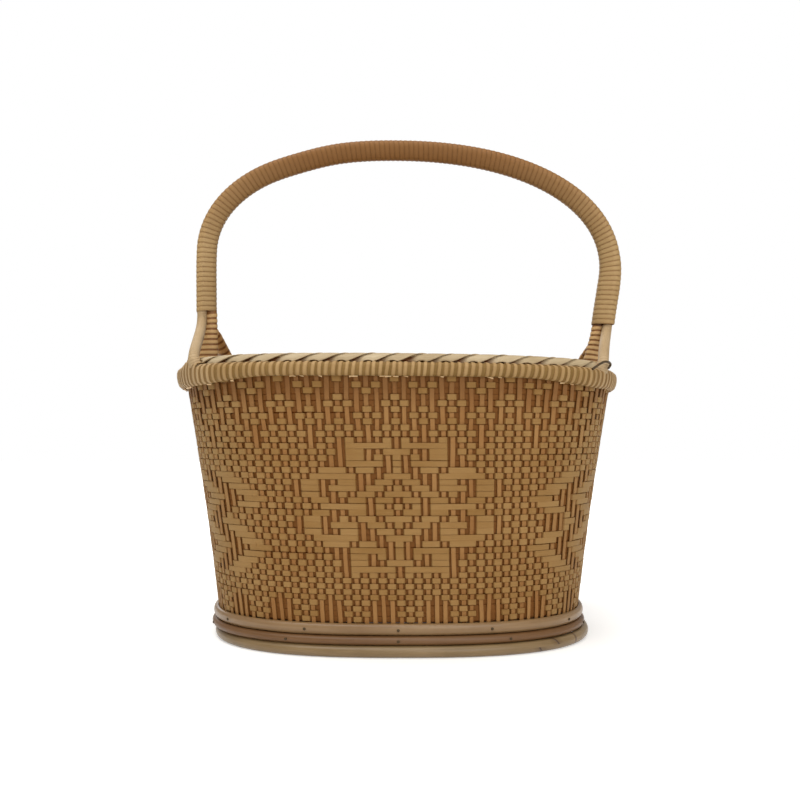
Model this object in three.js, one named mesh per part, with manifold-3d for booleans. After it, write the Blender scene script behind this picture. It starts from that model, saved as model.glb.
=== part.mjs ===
// Oval rattan basket: a flared woven wall on a foot of three canes, a lashed rim with a plaited
// border, and a fixed arched handle of three rods that part into a post and two legs at each end.
// Millimetres, +Z up, front towards -Y. It stands on Z = 0.
import * as THREE from 'three';
import { mergeVertices } from 'three/addons/utils/BufferGeometryUtils.js';
import Module from 'manifold-3d';

const wasm = await Module();
wasm.setup();

// Clearance between pieces that touch.
const GAP = 0.3;

// Plan of the wall's outer face, carried down to the floor: a rounded oval.
const OVAL_HALF_LENGTH = 144.5;
const OVAL_HALF_WIDTH = 98;
const OVAL_SQUARENESS = 2.5;
const OVAL_STEPS = 40;

// The wall leans outward with height and is a little hollow in profile.
const BASKET_HEIGHT = 212.8;
const RIM_FLARE = 31.1;
const WALL_HOLLOW = 1.8;
const WEAVE_THICKNESS = 2;
const LINING_THICKNESS = 0.9;

// Relief of the weave: broad courses that bow out and in by turns, as wefts do over the stakes.
const COURSE_COUNT = 10;
const COURSE_BOW = 0.9;
const COURSE_EDGE = 1.5;

// Foot: two round canes, a half-round cane round the wall, and the band they are nailed to.
const BOTTOM_CANE_HEIGHT = 9.2;
const BOTTOM_CANE_THICKNESS = 8.9;
const MIDDLE_CANE_HEIGHT = 7;
const MIDDLE_CANE_THICKNESS = 7.6;
const TOP_CANE_HEIGHT = 8.8;
const TOP_CANE_THICKNESS = 3.8;
const BAND_THICKNESS = 2.4;
const BAND_FLOOR_CLEARANCE = 0.8;
const BASE_THICKNESS = 2.5;

// Nails through the top and middle canes into the band.
const TOP_NAIL_COUNT = 12;
const MIDDLE_NAIL_COUNT = 10;
const NAIL_RADIUS = 0.5;
const NAIL_HEAD_RADIUS = 1.1;
const NAIL_HEAD_HEIGHT = 0.7;
const NAIL_BITE = 1.5;
const NAIL_SIDES = 5;

// Rim: a hoop on each face of the wall, bound together by a lashing, and the border on top.
const RIM_HEIGHT = 10.8;
const RIM_HOOP_THICKNESS = 3.7;
const LASHING_THICKNESS = 1.2;
const LASHING_CHAMFER = 1.6;
const END_SWELL = 4.6;
const END_SWELL_START_SHARE = 0.72;
const END_SWELL_FULL_SHARE = 0.95;
const BORDER_HEIGHT = 5.9;
const BORDER_WIDTH = 5.3;
const BORDER_CROWN = 1.5;

// Handle: three rods in a bundle. The crown stands over the basket a little left of centre.
const ROD_RADIUS = 3.7;
const ROD_SPACING_GAP = 0.4;
const ROD_SIDES = 6;
const ROD_STEPS = 74;
const HANDLE_RISE = 190.5;
const CROWN_SHIFT = -6.8;
const ARCH_SQUARENESS = 2.2;
const ARCH_SAMPLES = 14;
const LEFT_POST_INSET = 12.3;
const LEFT_SHOULDER_DROP = 90;
const RIGHT_POST_OUTSET = 4.8;
const RIGHT_SHOULDER_DROP = 101.8;
const RIGHT_POST_LEAN = 5.1;

// Each end of the handle: the fork where the rods part, the legs' feet on the rim, and the
// post that runs down inside the basket against the lining.
const FORK_RISE = 49;
const LEFT_FRONT_SPREAD = 79;
const LEFT_BACK_SPREAD = 82;
const RIGHT_FRONT_SPREAD = 77;
const RIGHT_BACK_SPREAD = 66;
const LEG_BEND_TOP = 18;
const LEG_BEND_FOOT = 12;
const LEG_STRAIGHT = 4;
const TIP_RADIUS = 2.2;
const POST_DEPTH = 80;
const POST_BEND_RISE = 9;
const POST_BEND_OUT = 1;

// Windings of flat cane strip, each a ridge that touches its rod or bundle on two edges.
const STRIP_CLEARANCE = 0.7;
const STRIP_SPACE = 0.9;
const BUNDLE_STRIP_HEIGHT = 0.75;
const BUNDLE_WINDINGS = 5;
const BUNDLE_TURNS = 17;
const ROD_STRIP_HEIGHT = 0.55;
const ROD_STRIP_STEPS = 8;
const LEG_TURNS = 8;
const LEG_WINDING_START_SHARE = 0.17;
const LEG_WINDING_END_SHARE = 0.955;
const POST_TURNS = 6;
const POST_WINDING_TOP = 10;
const POST_WINDING_FOOT = 10;

// A loose loop of wire round the outside of the front right leg's foot.
const WIRE_RADIUS = 0.8;
const WIRE_LOOP_RADIUS = 7.8;
const WIRE_LOW = 1.2;
const WIRE_RISE = 7;
const WIRE_REACH_ANGLE = 1.9;
const WIRE_POINTS = 12;
const WIRE_SIDES = 6;
const WIRE_STEPS = 20;

// Heights and offsets that follow from the sizes above.
const middleCaneFoot = BOTTOM_CANE_HEIGHT + GAP;
const wallFoot = middleCaneFoot + MIDDLE_CANE_HEIGHT + GAP;
const topCaneTop = wallFoot + TOP_CANE_HEIGHT;
const baseUnderside = topCaneTop - BASE_THICKNESS / 2;
const liningFoot = baseUnderside;
const liningFace = -(WEAVE_THICKNESS + GAP + LINING_THICKNESS);
const rimFoot = BASKET_HEIGHT - RIM_HEIGHT;
const rimOuterFace = GAP + RIM_HOOP_THICKNESS + GAP + LASHING_THICKNESS;
const rimInnerFace = liningFace - rimOuterFace;
const hoopTop = BASKET_HEIGHT - LASHING_THICKNESS - GAP;
const hoopFoot = rimFoot + LASHING_THICKNESS + GAP;
const wallEnd = OVAL_HALF_LENGTH + RIM_FLARE;
const rodSpacing = 2 * ROD_RADIUS + ROD_SPACING_GAP;
const bundleDepth = rodSpacing * Math.cos(Math.PI / 6);
const forkHeight = BASKET_HEIGHT + FORK_RISE;

const UP = new THREE.Vector3(0, 0, 1);

// How far the wall's outer face lies outside the oval at a height.
function flareAt(height) {
  const share = height / BASKET_HEIGHT;
  return RIM_FLARE * share - 4 * WALL_HOLLOW * share * (1 - share);
}

// The oval, walked at an even pace from the front centre towards +X. Each point has its
// outward direction, so that rings at any offset follow the wall.
const ovalWalk = [];
const OVAL_FINE_STEPS = 4800;
for (let i = 0; i <= OVAL_FINE_STEPS; i += 1) {
  const angle = (2 * Math.PI * i) / OVAL_FINE_STEPS;
  const sine = Math.sin(angle);
  const cosine = Math.cos(angle);
  const x = OVAL_HALF_LENGTH * Math.sign(sine) * Math.abs(sine) ** (2 / OVAL_SQUARENESS);
  const y = -OVAL_HALF_WIDTH * Math.sign(cosine) * Math.abs(cosine) ** (2 / OVAL_SQUARENESS);
  const slopeX = (Math.sign(x) * Math.abs(x / OVAL_HALF_LENGTH) ** (OVAL_SQUARENESS - 1)) / OVAL_HALF_LENGTH;
  const slopeY = (Math.sign(y) * Math.abs(y / OVAL_HALF_WIDTH) ** (OVAL_SQUARENESS - 1)) / OVAL_HALF_WIDTH;
  const point = new THREE.Vector3(x, y, 0);
  const before = ovalWalk[i - 1];
  const walked = before ? before.walked + before.point.distanceTo(point) : 0;
  ovalWalk.push({ point, outward: new THREE.Vector3(slopeX, slopeY, 0).normalize(), walked });
}
const ovalLength = ovalWalk[OVAL_FINE_STEPS].walked;

// The place on the oval at a share of the way round, moved out by an offset and up by a height.
function ovalPlace(share) {
  const goal = (((share % 1) + 1) % 1) * ovalLength;
  let low = 0;
  let high = OVAL_FINE_STEPS;
  while (high - low > 1) {
    const middle = Math.floor((low + high) / 2);
    if (ovalWalk[middle].walked <= goal) low = middle;
    else high = middle;
  }
  const a = ovalWalk[low];
  const b = ovalWalk[high];
  const blend = (goal - a.walked) / (b.walked - a.walked);
  return {
    point: a.point.clone().lerp(b.point, blend),
    outward: a.outward.clone().lerp(b.outward, blend).normalize(),
  };
}

function ovalPoint(share, offset, height) {
  const place = ovalPlace(share);
  return place.point.addScaledVector(place.outward, offset).addScaledVector(UP, height);
}

// The same on the flat between two steps of the oval.
function flatPoint(share, offset, height) {
  const step = Math.floor(share * OVAL_STEPS);
  const near = ovalPoint(step / OVAL_STEPS, offset, height);
  const far = ovalPoint((step + 1) / OVAL_STEPS, offset, height);
  return near.lerp(far, share * OVAL_STEPS - step);
}

// A closed solid from rings of points, either joined end to start or closed by flat caps.
// Its faces are turned outward by the sign of its volume.
function skin(rings, joined) {
  const sides = rings[0].length;
  const points = rings.flat();
  const faces = [];
  const bands = joined ? rings.length : rings.length - 1;
  for (let i = 0; i < bands; i += 1) {
    const here = i * sides;
    const next = ((i + 1) % rings.length) * sides;
    for (let j = 0; j < sides; j += 1) {
      const k = (j + 1) % sides;
      faces.push([here + j, next + j, next + k], [here + j, next + k, here + k]);
    }
  }
  if (!joined) {
    const last = (rings.length - 1) * sides;
    for (let j = 1; j < sides - 1; j += 1) {
      faces.push([0, j, j + 1], [last, last + j + 1, last + j]);
    }
  }
  let volume = 0;
  for (const [a, b, c] of faces) volume += points[a].dot(points[b].clone().cross(points[c]));
  if (volume < 0) faces.forEach((face) => face.reverse());
  const geometry = new THREE.BufferGeometry().setFromPoints(points);
  geometry.setIndex(faces.flat());
  return geometry;
}

// A section swept round the oval. It may change with the place, given as a share of the way round.
function aroundOval(sectionAt) {
  const rings = [];
  for (let i = 0; i < OVAL_STEPS; i += 1) {
    const share = i / OVAL_STEPS;
    rings.push(sectionAt(share).map(([offset, height]) => ovalPoint(share, offset, height)));
  }
  return skin(rings, true);
}

// Solids for cutting and joining.
function toSolid(geometry) {
  const bare = geometry.clone();
  bare.deleteAttribute('normal');
  bare.deleteAttribute('uv');
  const merged = mergeVertices(bare, 1e-4);
  return new wasm.Manifold(new wasm.Mesh({
    numProp: 3,
    vertProperties: new Float32Array(merged.attributes.position.array),
    triVerts: new Uint32Array(merged.index.array),
  }));
}

function fromSolid(solid) {
  const mesh = solid.getMesh();
  const geometry = new THREE.BufferGeometry();
  geometry.setAttribute('position', new THREE.BufferAttribute(new Float32Array(mesh.vertProperties), 3));
  geometry.setIndex(new THREE.BufferAttribute(new Uint32Array(mesh.triVerts), 1));
  return geometry;
}

function cut(geometry, tools) {
  let solid = toSolid(geometry);
  for (const tool of tools) solid = solid.subtract(toSolid(tool));
  return fromSolid(solid);
}

const basket = new THREE.Group();

function add(name, geometry, finish) {
  const shaded = geometry.index ? geometry.toNonIndexed() : geometry;
  shaded.computeVertexNormals();
  const mesh = new THREE.Mesh(shaded, new THREE.MeshStandardMaterial(finish));
  mesh.name = name;
  basket.add(mesh);
  return mesh;
}

const WEAVE = { color: 0xc99c5c, roughness: 0.6, metalness: 0 };
const LINING = { color: 0x9a6236, roughness: 0.7, metalness: 0 };
const PALE_CANE = { color: 0xdcbb85, roughness: 0.45, metalness: 0 };
const RED_CANE = { color: 0xc4915b, roughness: 0.5, metalness: 0 };
const STRIP = { color: 0xcfa768, roughness: 0.5, metalness: 0 };
const PALE_STRIP = { color: 0xdcc391, roughness: 0.5, metalness: 0 };
const ROD = { color: 0xbf9a62, roughness: 0.6, metalness: 0 };
const WIRE = { color: 0x4a3f30, roughness: 0.4, metalness: 0.8 };
const NAIL = { color: 0x3a332c, roughness: 0.5, metalness: 0.8 };

// One face of a thin shell that leans with the wall, at an offset from the wall's outer face.
const WALL_ROWS = 2;
function shellFace(offset, foot, top) {
  const face = [];
  for (let row = 0; row <= WALL_ROWS; row += 1) {
    const height = foot + ((top - foot) * row) / WALL_ROWS;
    face.push([flareAt(height) + offset, height]);
  }
  return face;
}
const liningOut = shellFace(-WEAVE_THICKNESS - GAP, liningFoot, hoopTop);
const liningSection = [...liningOut, ...shellFace(liningFace, liningFoot, hoopTop).reverse()];

// Wall: smooth behind, under the top cane and under the rim. Between these each course bows the
// other way than the one below it, and the other way again one step further round.
const courseHeight = (rimFoot - topCaneTop) / COURSE_COUNT;
const wallBack = shellFace(-WEAVE_THICKNESS, wallFoot, hoopTop).reverse();
function wallSection(share) {
  const step = Math.round(share * OVAL_STEPS);
  const face = [wallFoot, topCaneTop].map((height) => [flareAt(height), height]);
  for (let course = 0; course < COURSE_COUNT; course += 1) {
    const foot = topCaneTop + course * courseHeight;
    const sunk = (step + course) % 2 ? COURSE_BOW : 0;
    for (const height of [foot + COURSE_EDGE, foot + courseHeight - COURSE_EDGE]) {
      face.push([flareAt(height) - sunk, height]);
    }
  }
  face.push(...[rimFoot, hoopTop].map((height) => [flareAt(height), height]));
  return [...face, ...wallBack];
}

// Foot band: upright below the wall, then leaning with it.
const bandTop = baseUnderside - GAP;
const bandOuterLow = flareAt(wallFoot) - WEAVE_THICKNESS - GAP;
const bandOuterHigh = flareAt(bandTop) - WEAVE_THICKNESS - GAP;
const bandSection = [
  [bandOuterLow, BAND_FLOOR_CLEARANCE],
  [bandOuterLow, wallFoot],
  [bandOuterHigh, bandTop],
  [bandOuterHigh - BAND_THICKNESS, bandTop],
  [bandOuterLow - BAND_THICKNESS, BAND_FLOOR_CLEARANCE],
];

// A round cane, with eight flats: the lowest one is what the basket stands on.
function roundCane(inner, thickness, foot, height) {
  const halfWide = thickness / 2;
  const halfHigh = height / 2;
  const wideFlat = halfWide * Math.tan(Math.PI / 8);
  const highFlat = halfHigh * Math.tan(Math.PI / 8);
  const middle = inner + halfWide;
  const centre = foot + halfHigh;
  return [
    [middle + wideFlat, foot],
    [middle + halfWide, centre - highFlat],
    [middle + halfWide, centre + highFlat],
    [middle + wideFlat, foot + height],
    [middle - wideFlat, foot + height],
    [middle - halfWide, centre + highFlat],
    [middle - halfWide, centre - highFlat],
    [middle - wideFlat, foot],
  ];
}
const caneInner = bandOuterLow + GAP;
const bottomCaneSection = roundCane(caneInner, BOTTOM_CANE_THICKNESS, 0, BOTTOM_CANE_HEIGHT);
const middleCaneSection = roundCane(caneInner, MIDDLE_CANE_THICKNESS, middleCaneFoot, MIDDLE_CANE_HEIGHT);

// The half-round cane leans with the wall that it lies on.
const TOP_CANE_SHOULDER_SHARE = 0.3;
const topCaneSection = [
  [0, 0],
  [0.5, 0],
  [1, TOP_CANE_SHOULDER_SHARE],
  [1, 1 - TOP_CANE_SHOULDER_SHARE],
  [0.5, 1],
  [0, 1],
].map(([out, up]) => {
  const height = wallFoot + up * TOP_CANE_HEIGHT;
  return [flareAt(height) + GAP + out * TOP_CANE_THICKNESS, height];
});

// Nails lie square to the oval. A drill is the hole that one leaves in each piece it passes.
function nailRow(count, height, face, reach) {
  const row = [];
  for (let i = 0; i < count; i += 1) {
    const share = i / count;
    const seat = flatPoint(share, face, height);
    const outward = ovalPlace(share).outward;
    const turn = new THREE.Quaternion().setFromUnitVectors(new THREE.Vector3(0, 1, 0), outward);
    const length = reach + 2 * GAP;
    const drill = new THREE.CylinderGeometry(NAIL_RADIUS + GAP, NAIL_RADIUS + GAP, 2 * length, NAIL_SIDES);
    drill.applyQuaternion(turn);
    drill.translate(seat.x, seat.y, seat.z);
    row.push({ seat, turn, drill, length: reach });
  }
  return row;
}
function nailGeometry(length) {
  const tip = -length;
  const headFoot = 1.5 * GAP;
  return new THREE.LatheGeometry([
    new THREE.Vector2(0, tip),
    new THREE.Vector2(NAIL_RADIUS, tip + 2 * NAIL_RADIUS),
    new THREE.Vector2(NAIL_RADIUS, headFoot),
    new THREE.Vector2(NAIL_HEAD_RADIUS, headFoot),
    new THREE.Vector2(0, headFoot + NAIL_HEAD_HEIGHT),
  ], NAIL_SIDES);
}
const topNailHeight = wallFoot + TOP_CANE_HEIGHT / 2;
const topNailFace = flareAt(topNailHeight) + GAP + TOP_CANE_THICKNESS;
const topNailReach = topNailFace - bandOuterHigh + NAIL_BITE;
const topNails = nailRow(TOP_NAIL_COUNT, topNailHeight, topNailFace, topNailReach);
const middleNailHeight = middleCaneFoot + MIDDLE_CANE_HEIGHT / 2;
const middleNailFace = caneInner + MIDDLE_CANE_THICKNESS;
const middleNailReach = middleNailFace - bandOuterLow + NAIL_BITE;
const middleNails = nailRow(MIDDLE_NAIL_COUNT, middleNailHeight, middleNailFace, middleNailReach);
const topDrills = topNails.map((nail) => nail.drill);
const middleDrills = middleNails.map((nail) => nail.drill);

// Base panel: a flat oval inside the lining, resting on the band.
function basePanel() {
  const offset = flareAt(baseUnderside) + liningFace - GAP;
  const outline = [];
  for (let i = 0; i < OVAL_STEPS; i += 1) {
    const point = ovalPoint(i / OVAL_STEPS, offset, 0);
    outline.push(new THREE.Vector2(point.x, point.y));
  }
  const plate = { depth: BASE_THICKNESS, bevelEnabled: false };
  const panel = new THREE.ExtrudeGeometry(new THREE.Shape(outline), plate);
  panel.translate(0, 0, baseUnderside);
  return panel;
}

add('base_panel', basePanel(), WEAVE);
add('wall_weave', cut(aroundOval(wallSection), topDrills), WEAVE);
add('wall_lining', aroundOval(() => liningSection), LINING);
add('foot_band', cut(aroundOval(() => bandSection), [...topDrills, ...middleDrills]), ROD);
add('foot_cane_top', cut(aroundOval(() => topCaneSection), topDrills), PALE_CANE);
add('foot_cane_middle', cut(aroundOval(() => middleCaneSection), middleDrills), RED_CANE);
add('foot_cane_bottom', aroundOval(() => bottomCaneSection), PALE_CANE);
[['nail_top_', topNails], ['nail_middle_', middleNails]].forEach(([name, nails]) => {
  nails.forEach((nail, i) => {
    const mesh = add(name + String(i + 1).padStart(2, '0'), nailGeometry(nail.length), NAIL);
    mesh.position.copy(nail.seat);
    mesh.quaternion.copy(nail.turn);
  });
});

// Where a leg's foot stands: on the rim's outer hoop, at the leg's spread from the middle plane.
const legSeatOffset = RIM_FLARE + GAP + RIM_HOOP_THICKNESS / 2;
function legSpread(side, front) {
  if (side < 0) return front < 0 ? LEFT_FRONT_SPREAD : LEFT_BACK_SPREAD;
  return front < 0 ? RIGHT_FRONT_SPREAD : RIGHT_BACK_SPREAD;
}
function legSeatShare(side, front) {
  const spread = legSpread(side, front);
  let low = 0;
  let high = 0.25;
  while (high - low > 1e-6) {
    const middle = (low + high) / 2;
    if (ovalPoint(middle, legSeatOffset, 0).y < -spread) low = middle;
    else high = middle;
  }
  return low;
}
function legSeat(side, front) {
  const seat = ovalPoint(legSeatShare(side, front), legSeatOffset, BASKET_HEIGHT + GAP);
  return new THREE.Vector3(side * seat.x, front * Math.abs(seat.y), seat.z);
}

// Lashing: a channel over both hoops, open below where the wall comes up, deeper at the ends
// of the oval where it also binds the handle's feet. The feet's tips go through its top.
function endSwell(share) {
  const reach = Math.abs(ovalPlace(share).point.x) / OVAL_HALF_LENGTH;
  return END_SWELL * THREE.MathUtils.smoothstep(reach, END_SWELL_START_SHARE, END_SWELL_FULL_SHARE);
}
function lashingSection(share) {
  const foot = rimFoot - endSwell(share);
  const lip = rimFoot + LASHING_THICKNESS;
  const top = BASKET_HEIGHT;
  const inside = top - LASHING_THICKNESS;
  return [
    [GAP, foot],
    [rimOuterFace - LASHING_CHAMFER, foot],
    [rimOuterFace, foot + LASHING_CHAMFER],
    [rimOuterFace, top - LASHING_CHAMFER],
    [rimOuterFace - LASHING_CHAMFER, top],
    [rimInnerFace + LASHING_CHAMFER, top],
    [rimInnerFace, top - LASHING_CHAMFER],
    [rimInnerFace, foot],
    [liningFace - GAP, foot],
    [liningFace - GAP, lip],
    [rimInnerFace + LASHING_THICKNESS, lip],
    [rimInnerFace + LASHING_THICKNESS, inside],
    [rimOuterFace - LASHING_THICKNESS, inside],
    [rimOuterFace - LASHING_THICKNESS, lip],
    [GAP, lip],
  ].map(([out, height]) => [flareAt(height) + out, height]);
}
function hoopSection(inner) {
  return [
    [inner, hoopFoot],
    [inner + RIM_HOOP_THICKNESS, hoopFoot],
    [inner + RIM_HOOP_THICKNESS, hoopTop],
    [inner, hoopTop],
  ].map(([out, height]) => [flareAt(height) + out, height]);
}
const borderFoot = BASKET_HEIGHT + GAP;
const borderInner = RIM_FLARE + rimInnerFace + GAP;
const borderSection = [
  [borderInner, borderFoot],
  [borderInner + BORDER_WIDTH, borderFoot],
  [borderInner + BORDER_WIDTH, borderFoot + BORDER_HEIGHT - BORDER_CROWN],
  [borderInner + BORDER_WIDTH / 2, borderFoot + BORDER_HEIGHT],
  [borderInner, borderFoot + BORDER_HEIGHT - BORDER_CROWN],
];
const ENDS = [[-1, 'left'], [1, 'right']];
const FACES = [[-1, 'front'], [1, 'back']];
const tipDrills = [];
for (const [side] of ENDS) {
  for (const [front] of FACES) {
    const seat = legSeat(side, front);
    const drillRadius = TIP_RADIUS + 2 * GAP;
    const drill = new THREE.CylinderGeometry(drillRadius, drillRadius, 4 * LASHING_THICKNESS, ROD_SIDES);
    drill.rotateX(Math.PI / 2);
    drill.translate(seat.x, seat.y, seat.z);
    tipDrills.push(drill);
  }
}
add('rim_hoop_outer', aroundOval(() => hoopSection(GAP)), PALE_CANE);
add('rim_hoop_inner', aroundOval(() => hoopSection(liningFace - GAP - RIM_HOOP_THICKNESS)), PALE_CANE);
add('rim_lashing', cut(aroundOval(lashingSection), tipDrills), STRIP);
add('rim_border', aroundOval(() => borderSection), PALE_STRIP);

// Handle axis in the plane Y = 0: a straight left post, an arch of two quarter ovals that meet
// at the crown, and a right post that leans in below its bulge. It runs from fork to fork.
const crown = { x: CROWN_SHIFT, z: BASKET_HEIGHT + HANDLE_RISE };
const leftPostX = -(wallEnd - LEFT_POST_INSET);
const rightPostX = wallEnd + RIGHT_POST_OUTSET;
function quarterArch(postX, drop, turn) {
  const across = Math.abs(Math.sin(turn)) ** (2 / ARCH_SQUARENESS);
  const up = Math.abs(Math.cos(turn)) ** (2 / ARCH_SQUARENESS);
  return new THREE.Vector3(crown.x + (postX - crown.x) * across, 0, crown.z - drop * (1 - up));
}
const archPoints = [new THREE.Vector3(leftPostX, 0, forkHeight)];
for (let i = ARCH_SAMPLES; i > 0; i -= 1) {
  archPoints.push(quarterArch(leftPostX, LEFT_SHOULDER_DROP, (Math.PI / 2) * (i / ARCH_SAMPLES)));
}
for (let i = 0; i <= ARCH_SAMPLES; i += 1) {
  archPoints.push(quarterArch(rightPostX, RIGHT_SHOULDER_DROP, (Math.PI / 2) * (i / ARCH_SAMPLES)));
}
archPoints.push(new THREE.Vector3(rightPostX - RIGHT_POST_LEAN, 0, forkHeight));
const arch = new THREE.CatmullRomCurve3(archPoints, false, 'centripetal');

// The direction out of the arch, square to its axis, and a point beside the axis.
function archOutward(share) {
  const along = arch.getTangentAt(share);
  return new THREE.Vector3(-along.z, 0, along.x);
}
function besideArch(share, out, back) {
  return arch.getPointAt(share).addScaledVector(archOutward(share), out).add(new THREE.Vector3(0, back, 0));
}
const ROD_ARCH_SAMPLES = 26;
function rodArch(out, back) {
  const points = [];
  for (let i = 0; i <= ROD_ARCH_SAMPLES; i += 1) points.push(besideArch(i / ROD_ARCH_SAMPLES, out, back));
  return points;
}

// A leg bends away from the bundle and turns upright before its straight foot.
function legCurve(side, front) {
  const share = side < 0 ? 0 : 1;
  const fork = besideArch(share, bundleDepth / 2, (front * rodSpacing) / 2);
  const down = arch.getTangentAt(share).multiplyScalar(side);
  const ankle = legSeat(side, front).addScaledVector(UP, LEG_STRAIGHT);
  return new THREE.CubicBezierCurve3(
    fork,
    fork.clone().addScaledVector(down, LEG_BEND_TOP),
    ankle.clone().addScaledVector(UP, LEG_BEND_FOOT),
    ankle,
  );
}
// The post slips past the rim's inner face and follows the lining down.
function postPoints(side) {
  const passing = -(GAP + ROD_RADIUS);
  const lashingFoot = rimFoot - END_SWELL;
  const rimX = OVAL_HALF_LENGTH + flareAt(lashingFoot) + rimInnerFace + passing;
  const low = BASKET_HEIGHT - POST_DEPTH;
  const lowX = OVAL_HALF_LENGTH + flareAt(low) + liningFace + passing;
  return [
    new THREE.Vector3(side * (rimX + POST_BEND_OUT), 0, BASKET_HEIGHT + POST_BEND_RISE),
    new THREE.Vector3(side * rimX, 0, lashingFoot),
    new THREE.Vector3(side * lowX, 0, low),
  ];
}

function rodSection() {
  const outline = [];
  for (let i = 0; i < ROD_SIDES; i += 1) {
    const angle = (2 * Math.PI * i) / ROD_SIDES;
    outline.push(new THREE.Vector2(ROD_RADIUS * Math.cos(angle), ROD_RADIUS * Math.sin(angle)));
  }
  return new THREE.Shape(outline);
}
function rodAlong(curves) {
  const path = new THREE.CurvePath();
  path.curves.push(...curves);
  path.arcLengthDivisions = 1000;
  const sweep = { steps: ROD_STEPS, extrudePath: path, bevelEnabled: false };
  return new THREE.ExtrudeGeometry(rodSection(), sweep);
}
function smooth(points) {
  return new THREE.CatmullRomCurve3(points, false, 'centripetal');
}
// The skived tip that takes a foot through the lashing, down to the hoop.
function footTip(side, front) {
  const seat = legSeat(side, front);
  const length = seat.z - hoopTop - GAP;
  const tip = new THREE.CylinderGeometry(TIP_RADIUS, TIP_RADIUS, length + ROD_RADIUS, ROD_SIDES);
  tip.rotateX(Math.PI / 2);
  tip.translate(seat.x, seat.y, seat.z - length + (length + ROD_RADIUS) / 2);
  return tip;
}
const innerRod = smooth([
  ...postPoints(-1).reverse(),
  ...rodArch(-bundleDepth / 2, 0),
  ...postPoints(1),
]);
add('handle_rod_inner', rodAlong([innerRod]), ROD);
for (const [front, face] of FACES) {
  const left = legCurve(-1, front);
  const right = legCurve(1, front);
  const bendLeft = new THREE.CubicBezierCurve3(left.v3, left.v2, left.v1, left.v0);
  let rod = toSolid(rodAlong([
    new THREE.LineCurve3(legSeat(-1, front), left.v3),
    bendLeft,
    smooth(rodArch(bundleDepth / 2, (front * rodSpacing) / 2)),
    right,
    new THREE.LineCurve3(right.v3, legSeat(1, front)),
  ]));
  for (const [side] of ENDS) rod = rod.add(toSolid(footTip(side, front)));
  add('handle_rod_' + face, fromSolid(rod), ROD);
}

// Least distance between points of a winding that lie more than half a turn apart.
function leastSelfGap(rings, stepsPerTurn) {
  let least = Infinity;
  for (let i = 0; i < rings.length; i += 1) {
    for (let k = i + Math.ceil(stepsPerTurn / 2); k < rings.length; k += 1) {
      for (const a of rings[i]) for (const b of rings[k]) least = Math.min(least, a.distanceTo(b));
    }
  }
  return least;
}
let leastGap = Infinity;
function addWinding(name, rings, stepsPerTurn, finish) {
  leastGap = Math.min(leastGap, leastSelfGap(rings, stepsPerTurn));
  add(name, skin(rings, false), finish);
}

// Bundle winding: each turn goes round the three rods in nine steps, three on each rod. The
// lengths of strip follow one another, with a step left open where one is tucked under the next.
const BUNDLE_STEPS = 9;
const bundleStripInside = (ROD_RADIUS + STRIP_CLEARANCE) / Math.cos(Math.PI / 6);
function bundlePoint(share, step, radius) {
  const rod = Math.floor(step / 3) % 3;
  const rodTurn = Math.PI + (rod * 2 * Math.PI) / 3;
  const turn = rodTurn + (((step % 3) - 1) * Math.PI) / 3;
  const rodOut = rod === 0 ? -bundleDepth / 2 : bundleDepth / 2;
  const rodBack = [0, -rodSpacing / 2, rodSpacing / 2][rod];
  return besideArch(share, rodOut + radius * Math.cos(turn), rodBack + radius * Math.sin(turn));
}
const archLength = arch.getLength();
const bundlePitch = archLength / (BUNDLE_WINDINGS * BUNDLE_TURNS + 1);
function bundleWinding(index) {
  const halfWidth = (bundlePitch - STRIP_SPACE) / 2;
  const first = index * BUNDLE_TURNS * BUNDLE_STEPS;
  const rings = [];
  for (let step = first; step < first + BUNDLE_TURNS * BUNDLE_STEPS; step += 1) {
    const along = (0.5 + step / BUNDLE_STEPS) * bundlePitch;
    rings.push([
      bundlePoint((along - halfWidth) / archLength, step, bundleStripInside),
      bundlePoint(along / archLength, step, bundleStripInside + BUNDLE_STRIP_HEIGHT),
      bundlePoint((along + halfWidth) / archLength, step, bundleStripInside),
    ]);
  }
  return rings;
}
for (let i = 0; i < BUNDLE_WINDINGS; i += 1) {
  addWinding('handle_winding_' + (i + 1), bundleWinding(i), BUNDLE_STEPS, STRIP);
}

// Winding round a single rod, between two shares of its curve.
function rodWinding(curve, from, to, turns) {
  const steps = turns * ROD_STRIP_STEPS;
  const length = curve.getLength();
  const pitch = ((to - from) * length) / turns;
  const halfWidth = (pitch - STRIP_SPACE) / 2;
  const inside = (ROD_RADIUS + STRIP_CLEARANCE) / Math.cos(Math.PI / ROD_STRIP_STEPS);
  const side = new THREE.Vector3(1, 0, 0);
  const pointAt = (share, step, radius) => {
    const along = curve.getTangentAt(share);
    const first = side.clone().addScaledVector(along, -side.dot(along)).normalize();
    const second = along.clone().cross(first);
    const turn = (2 * Math.PI * step) / ROD_STRIP_STEPS;
    return curve.getPointAt(share)
      .addScaledVector(first, radius * Math.cos(turn))
      .addScaledVector(second, radius * Math.sin(turn));
  };
  const rings = [];
  for (let step = 0; step <= steps; step += 1) {
    const share = from + ((to - from) * step) / steps;
    rings.push([
      pointAt(share - halfWidth / length, step, inside),
      pointAt(share, step, inside + ROD_STRIP_HEIGHT),
      pointAt(share + halfWidth / length, step, inside),
    ]);
  }
  return rings;
}
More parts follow.
